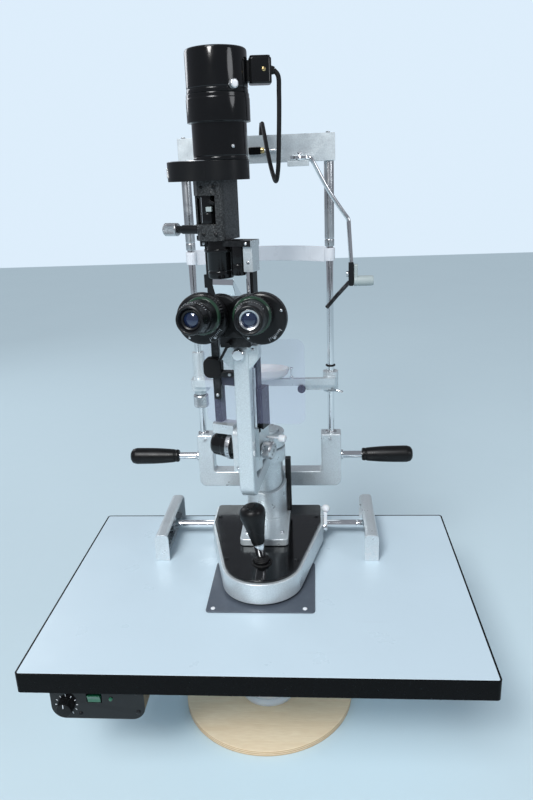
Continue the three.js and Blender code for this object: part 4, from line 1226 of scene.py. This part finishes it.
def make_slit_control():
    drum = [
        (3.3, 0), (20, 0), (20, 9), (19, 10), (18.2, 16), (17.6, 17), (16.5, 30), (14, 34), (9, 36),
        (0, 36)
    ]
    SLIT_CONTROL.turned(
        "slit_drum_body", drum, (-2, TOWER_Y, TILT_Z), LEFT, "black_gloss_plastic", "slit_drum", 1.0,
        160,
    )
    SLIT_CONTROL.turned(
        "slit_scale_band", ring_profile(19.4, 20.2, 6.4, 1.6), (-2, TOWER_Y, TILT_Z), LEFT,
        "satin_steel", fillet=0.2, segments=128,
    )
    for i in range(24):
        SLIT_CONTROL.piece(
            f"slit_scale_tick_{i + 1}",
            block_mesh(-0.25, 0.25, 20.0, 20.45, 2.2, 7.2 if i % 4 == 0 else 5.0), "black_plastic",
            pose=axis_matrix((-2, TOWER_Y, TILT_Z), (-1, 0, 0)) @ spin(15 * i, "Z"),
        )
    knob = [
        (0, 0), (3, 0), (3, 61), (10.6, 61), (12.4, 62.4), (13, 64), (13, 74), (12, 76.2), (10.4, 77),
        (0, 77)
    ]
    mesh = lathe_mesh(knob, 0.4, 240, ((64.4, 73.6, 40, 0.7),))
    holes = []
    for angle in (0.6, 0.6 + math.pi):
        hole = lathe_bore(1.3, 6, (7 * math.cos(angle), 7 * math.sin(angle), 74), UP, 24)
        holes.append(hole)
    holes.append(lathe_bore(2.6, 6, (0, 0, 75.4), UP, 32))
    SLIT_CONTROL.piece(
        "slit_knob_body", combined(mesh, holes), "satin_steel", "slit_knob",
        pose=axis_matrix((-17.5, TOWER_Y, TILT_Z), RIGHT),
    )


def make_tower():
    tower = refine("tower_frame", "black_satin", 0.9, 38, 3)
    tower.data.materials.append(MATERIALS["silver_casting"])
    to_lamp = LAMP.inverted()
    for face in tower.data.polygons:
        place = to_lamp @ face.center
        if place.z < 246 or (place.x > 29.5 and 461 < place.z < 496):
            face.material_index = 1
    Part(LAMP, "tilt_latch").turned(
        "tilt_latch_knob",
        [(0, 0), (1.4, 0), (1.4, 22), (4.6, 22), (5.3, 23), (5.5, 25), (5.5, 30.5), (4.6, 32), (0, 32)],
        (39, TOWER_Y + 17, 221), RIGHT, "white_plastic", "tilt_latch", 0.3, 64,
    )
    TOWER.turned(
        "tilt_pivot_cap", [(0, 0), (6.4, 0), (6.4, 2.4), (5, 3.2), (0, 3.2)], (-32, TOWER_Y, 236), LEFT,
        "satin_steel", fillet=0.4, segments=64,
    )
    TOWER.turned(
        "drive_rod", rod(2.2, 148), (34, TOWER_Y - 5.5, 314), UP, "chrome_steel", fillet=0.6,
        segments=48,
    )
    TOWER.turned(
        "drive_shaft", rod(1.9, 88), (37, TOWER_Y - 7.6, 243), UP, "chrome_steel", fillet=0.5,
        segments=48,
    )
    main = [
        (12.5, 0), (16.6, 0), (17.5, 1.2), (17.5, 9), (17.0, 9.6), (17.0, 10.6), (17.5, 11.2),
        (17.5, 35)
    ]
    main += [(21, 35), (21, 38.5), (17.5, 38.5), (17.5, 50), (0, 50), (0, 3), (12.5, 3), (12.5, 0)]
    TOWER.turned(
        "projection_lens", main, (-9, TOWER_Y, 452.5), UP, "black_gloss_plastic", "lens_tube", 0.3, 128,
    )
    side = [
        (6.6, 0), (8.8, 0), (9.4, 0.8), (9.4, 14), (9, 14.5), (9, 15.5), (9.4, 16), (9.4, 38), (0, 38),
        (0, 3)
    ]
    side += [(6.6, 3), (6.6, 0)]
    TOWER.turned(
        "condenser_tube", side, (20, TOWER_Y - 4, 457), UP, "black_gloss_plastic", fillet=0.3,
        segments=96,
    )
    TOWER.turned(
        "projection_glass", [(0, 3.4), (12.6, 3.4), (12.2, 2.2), (7, 1.2), (0, 0.9)],
        (-9, TOWER_Y, 452.5), UP, "lens_glass", fillet=0.2,
    )
    refine("mirror", "mirror_glass", 0.5, 25, 3, "slit_mirror")
    TOWER.screws(
        "tower_screw", "slot", 2.2,
        [(-25.5, TOWER_Y - 14, 498.8), (36, TOWER_Y - 14, 498.8), (36.5, TOWER_Y - 10, 474)], FRONT,
        "satin_steel",
    )


def make_filter_housing():
    low, high, flange_top = 503, 578, 602
    left, right, front, back = -35, 8, TOWER_Y - 26, TOWER_Y + 28
    chamfer, corner = 11, 15
    outline = [
        (left + chamfer, front), *arc(right - corner, front + corner, corner, -90, 0, 10),
        (right, back), (left, back), (left, front + chamfer)
    ]
    body = combined(
        prism_mesh(outline, low, high + 2),
        [block_mesh(left + 3, right - 3, front + 8, back - 3, low + 3, high - 3),
            prism_mesh(rectangle(left - 1, 0, 524, 560), front - 1, front + 13, "XZ"),
            block_mesh(left - 1, left + 4, TOWER_Y - 20, TOWER_Y + 14, 509, 523)],
    )
    TOWER.piece("filter_case", body, "hammer_grey", "filter_housing", 2.0, 32, 4)
    discs = []
    for radius, x, y in ((36, 0, TOWER_Y), (38, -32, TOWER_Y - 8)):
        disc = lathe_mesh(
            [(0, 0), (radius, 0), (radius, flange_top - high), (0, flange_top - high)], 0, 128,
        )
        disc.transform(shift((x, y, high)))
        discs.append(disc)
    notch = block_mesh(-75, -63, TOWER_Y - 30, TOWER_Y + 14, high + 5, flange_top - 5)
    TOWER.piece(
        "filter_flange", combined(combined(discs[0], [discs[1]], "UNION"), [notch]), "black_satin",
        None, 1.6, 35, 4,
    )
    TOWER.piece(
        "filter_rim", lathe_mesh(ring_profile(30, 36.6, 1.2), 0.4, 160), "satin_steel",
        pose=shift((-32, TOWER_Y - 8, flange_top - 0.4)),
    )
    TOWER.turned(
        "scale_drum",
        [(0, 0), (11.5, 0), (11.5, 14), (11.2, 14.4), (11.2, 15.2), (11.5, 15.6), (11.5, 41), (0, 41)],
        (-17, front + 16, 523), UP, "black_gloss_plastic", fillet=0.3,
    )
    TOWER.prism(
        "scale_line", rectangle(-21.4, -20.6, 526, 558), front + 4.6, front + 6.4, "XZ", "satin_steel",
    )
    TOWER.prism(
        "scale_mark", rectangle(-15, -7, 540, 546), front + 4.4, front + 8.0, "XZ", "grey_plastic",
        bevel=0.3,
    )
    TOWER.prism(
        "filter_index", [(-3.4, 0), (3.4, 0), (0, 13)], 36.4, 38.9, "XZ", "satin_steel", bevel=0.3,
        pose=shift((-32, TOWER_Y - 8, high + 5)) @ spin(128, "Z"),
    )
    TOWER.piece(
        "scale_rib", block_mesh(-14, 14, -1.4, 1.4, -2.2, 2.2), "black_satin", bevel=0.6,
        pose=shift((-16, front + 7, 555)) @ spin(24, "Y"),
    )
    TOWER.screws(
        "filter_screw", "slot", 2.4,
        [(-18, front, 511), (0, front, 511), (-18, front, 570), (0, front, 570)], FRONT, "black_satin",
    )

    APERTURE_LEVER.turned(
        "aperture_stem", [(0, 0), (6, 0), (6, 49), (5, 50), (5, 56), (0, 56)], (-15, TOWER_Y, 516),
        LEFT, "black_satin", "aperture_lever", 0.6, 64,
    )
    APERTURE_LEVER.turned(
        "aperture_knob",
        [(0, 0), (7.6, 0), (8.8, 1.5), (8.8, 19.5), (7.6, 21), (5, 21), (4.6, 20.2), (0, 20)],
        (-71, TOWER_Y, 516), LEFT, "satin_steel", None, 0.4, 192, ((2.6, 18.4, 32, 0.6),),
    )
    APERTURE_LEVER.turned(
        "aperture_drum", rod(15, 52), (-12, TOWER_Y + 3, 507), UP, "black_satin", fillet=0.8,
        segments=96,
    )


def make_lamp_housing():
    axis = (0, TOWER_Y)
    low, step, joint, top = 602.3, 647, 680, 731
    wall = [
        (0, 0), (35, 0), (35, 3), (34.6, 3.6), (34.6, 5), (35, 5.6), (35, step - low), (40, step - low)
    ]
    wall += [(40, step - low + 27), (39.5, step - low + 27.8), (39.5, joint - low - 1)]
    wall += [
        (39.1, joint - low), (35, joint - low), (35, step - low + 6), (31, step - low + 6), (31, 5),
        (0, 5)
    ]
    TOWER.turned("lamp_case", wall, (*axis, low), UP, "black_lacquer", "lamp_housing", 0.8, 160)
    screw_angle = 0.95
    outward = (math.sin(screw_angle), -math.cos(screw_angle), 0)
    TOWER.screws(
        "lamp_case_screw", "slot", 2.2, [(34.9 * outward[0], TOWER_Y + 34.9 * outward[1], 618)],
        outward, "satin_steel",
    )
    base = joint + 0.3
    height = top - base
    cap = [(35.5, 0), (38.5, 0), (38.5, 4), (38.1, 4.6), (38.1, 6), (38.5, 6.6), (38.5, height - 4)]
    cap += [(37.9, height - 1.4), (36.0, height), (31, height), (30.4, height - 0.7), (0, height - 0.7)]
    cap += [(0, height - 4), (35.5, height - 4), (35.5, 0)]
    LAMP_CAP.turned("lamp_cap_body", cap, (*axis, base), UP, "black_lacquer", "lamp_cap", 0.6, 160)
    for i in range(10):
        angle = math.radians(20 + 14 * i)
        LAMP_CAP.piece(
            f"cap_rib_{i + 1}", block_mesh(-1.5, 1.5, 37.4, 38.62, 12, 40), "black_satin", bevel=0.4,
            pose=shift((*axis, base)) @ Matrix.Rotation(angle - math.radians(83), 4, "Z"),
        )
    out = Vector((math.sin(math.radians(56)), -math.cos(math.radians(56)), 0))
    start = Vector((*axis, 688)) + out * 34
    Part(LAMP, "cap_screw").turned(
        "cap_screw_body", [(0, 0), (2.5, 0), (2.5, 5), (5.5, 5), (5.5, 10), (4.5, 11), (0, 11)], start,
        out, "satin_steel", "cap_screw", 0.4, 160, ((5.8, 9.4, 24, 0.4),),
    )
    turn = shift((*axis, 0)) @ spin(28, "Z")
    LAMP_CAP.prism(
        "lamp_plug_body", rounded_rectangle(28, 25, 5, 54, 0), 690, 720, "XY", "black_gloss_plastic",
        "lamp_plug", 2.0, 35, 4, pose=turn,
    )
    LAMP_CAP.prism(
        "lamp_plug_neck", rounded_rectangle(8, 17, 1.5, 38.5, 0), 693, 717, "XY", "black_plastic",
        bevel=0.6, pose=turn,
    )
    LAMP_CAP.prism(
        "lamp_plug_lip", rounded_rectangle(25, 22, 4, 54, 0), 719.5, 722, "XY", "black_plastic",
        bevel=0.8, pose=turn,
    )
    Part(BENCH, "lamp_cap").turned(
        "lamp_plug_boot", [(3.2, 0), (5.4, 0), (5.2, 2), (4.2, 5.4), (3.2, 5.4), (3.2, 0)],
        (32.2, 250.3, 706), (1, 0.08, -0.1), "black_rubber", fillet=0.6, segments=48,
    )
    spot = turn @ Vector((58, -12.5, 706))
    facing = turn.to_3x3() @ Vector((0, -1, 0))
    LAMP_CAP.screws("lamp_plug_screw", "slot", 2.6, [spot], facing, "brass")


# ---- floor and light


def make_studio():
    floor_mesh = prism_mesh(rounded_rectangle(12, 12, 1.0), -0.02, -0.0005)
    finish = Finish("floor", (0.56, 0.69, 0.745), 0.7)
    finish.tint(finish.spread(finish.noise(3, 5.0), 0.0, 0.2), (0.52, 0.645, 0.705))
    finish.vary_roughness(finish.noise(30), 0.06)
    finish.bump(finish.noise(500), 0.1, 0.0002)
    floor_mesh.materials.append(finish.material)
    floor = bpy.data.objects.new("floor", floor_mesh)
    bpy.context.scene.collection.objects.link(floor)

    world = bpy.data.worlds.new("studio")
    world.use_nodes = True
    nodes, links = world.node_tree.nodes, world.node_tree.links
    surroundings = nodes["Background"]
    surroundings.inputs["Color"].default_value = (0.82, 0.88, 1.0, 1.0)
    surroundings.inputs["Strength"].default_value = 0.30
    backdrop = nodes.new("ShaderNodeBackground")
    backdrop.inputs["Color"].default_value = (0.75, 0.88, 1.0, 1.0)
    backdrop.inputs["Strength"].default_value = 0.97
    seen = nodes.new("ShaderNodeLightPath")
    mix = nodes.new("ShaderNodeMixShader")
    links.new(seen.outputs["Is Camera Ray"], mix.inputs["Fac"])
    links.new(surroundings.outputs["Background"], mix.inputs[1])
    links.new(backdrop.outputs["Background"], mix.inputs[2])
    links.new(mix.outputs["Shader"], nodes["World Output"].inputs["Surface"])
    bpy.context.scene.world = world

    lights = (
        ("key", "AREA", (-0.45, -1.6, 1.75), 0.45, 19, (1.0, 0.99, 0.98)),
        ("fill", "AREA", (1.9, -1.1, 1.4), 0.8, 7, (0.93, 0.96, 1.0)),
        ("back", "AREA", (-1.6, 1.7, 1.5), 1.0, 7, (0.92, 0.95, 1.0)),
        ("overhead", "SUN", (-0.5, -1.3, 2.2), 0.5, 1.95, (0.94, 0.97, 1.0)),
    )
    for name, kind, place, size, power, color in lights:
        data = bpy.data.lights.new(name, kind)
        if kind == "AREA":
            data.shape = "DISK"
            data.size = size
        else:
            data.angle = size
        data.energy = power
        data.color = color
        light = bpy.data.objects.new(name, data)
        light.location = place
        aim = Vector((0, 0, 0.5)) - Vector(place)
        light.rotation_mode = "QUATERNION"
        light.rotation_quaternion = aim.to_track_quat("-Z", "Y")
        bpy.context.scene.collection.objects.link(light)
    bpy.context.scene.view_settings.view_transform = "Standard"


make_camera()
make_cable()
make_stand()
make_power_supply()
make_rails()
make_base()
make_column()
make_joystick()
make_headrest()
make_chin_rest()
make_fixation_lamp()
make_microscope_arm()
make_microscope_body()
make_breath_shield()
make_illumination_arm()
make_slit_control()
make_tower()
make_filter_housing()
make_lamp_housing()
make_studio()
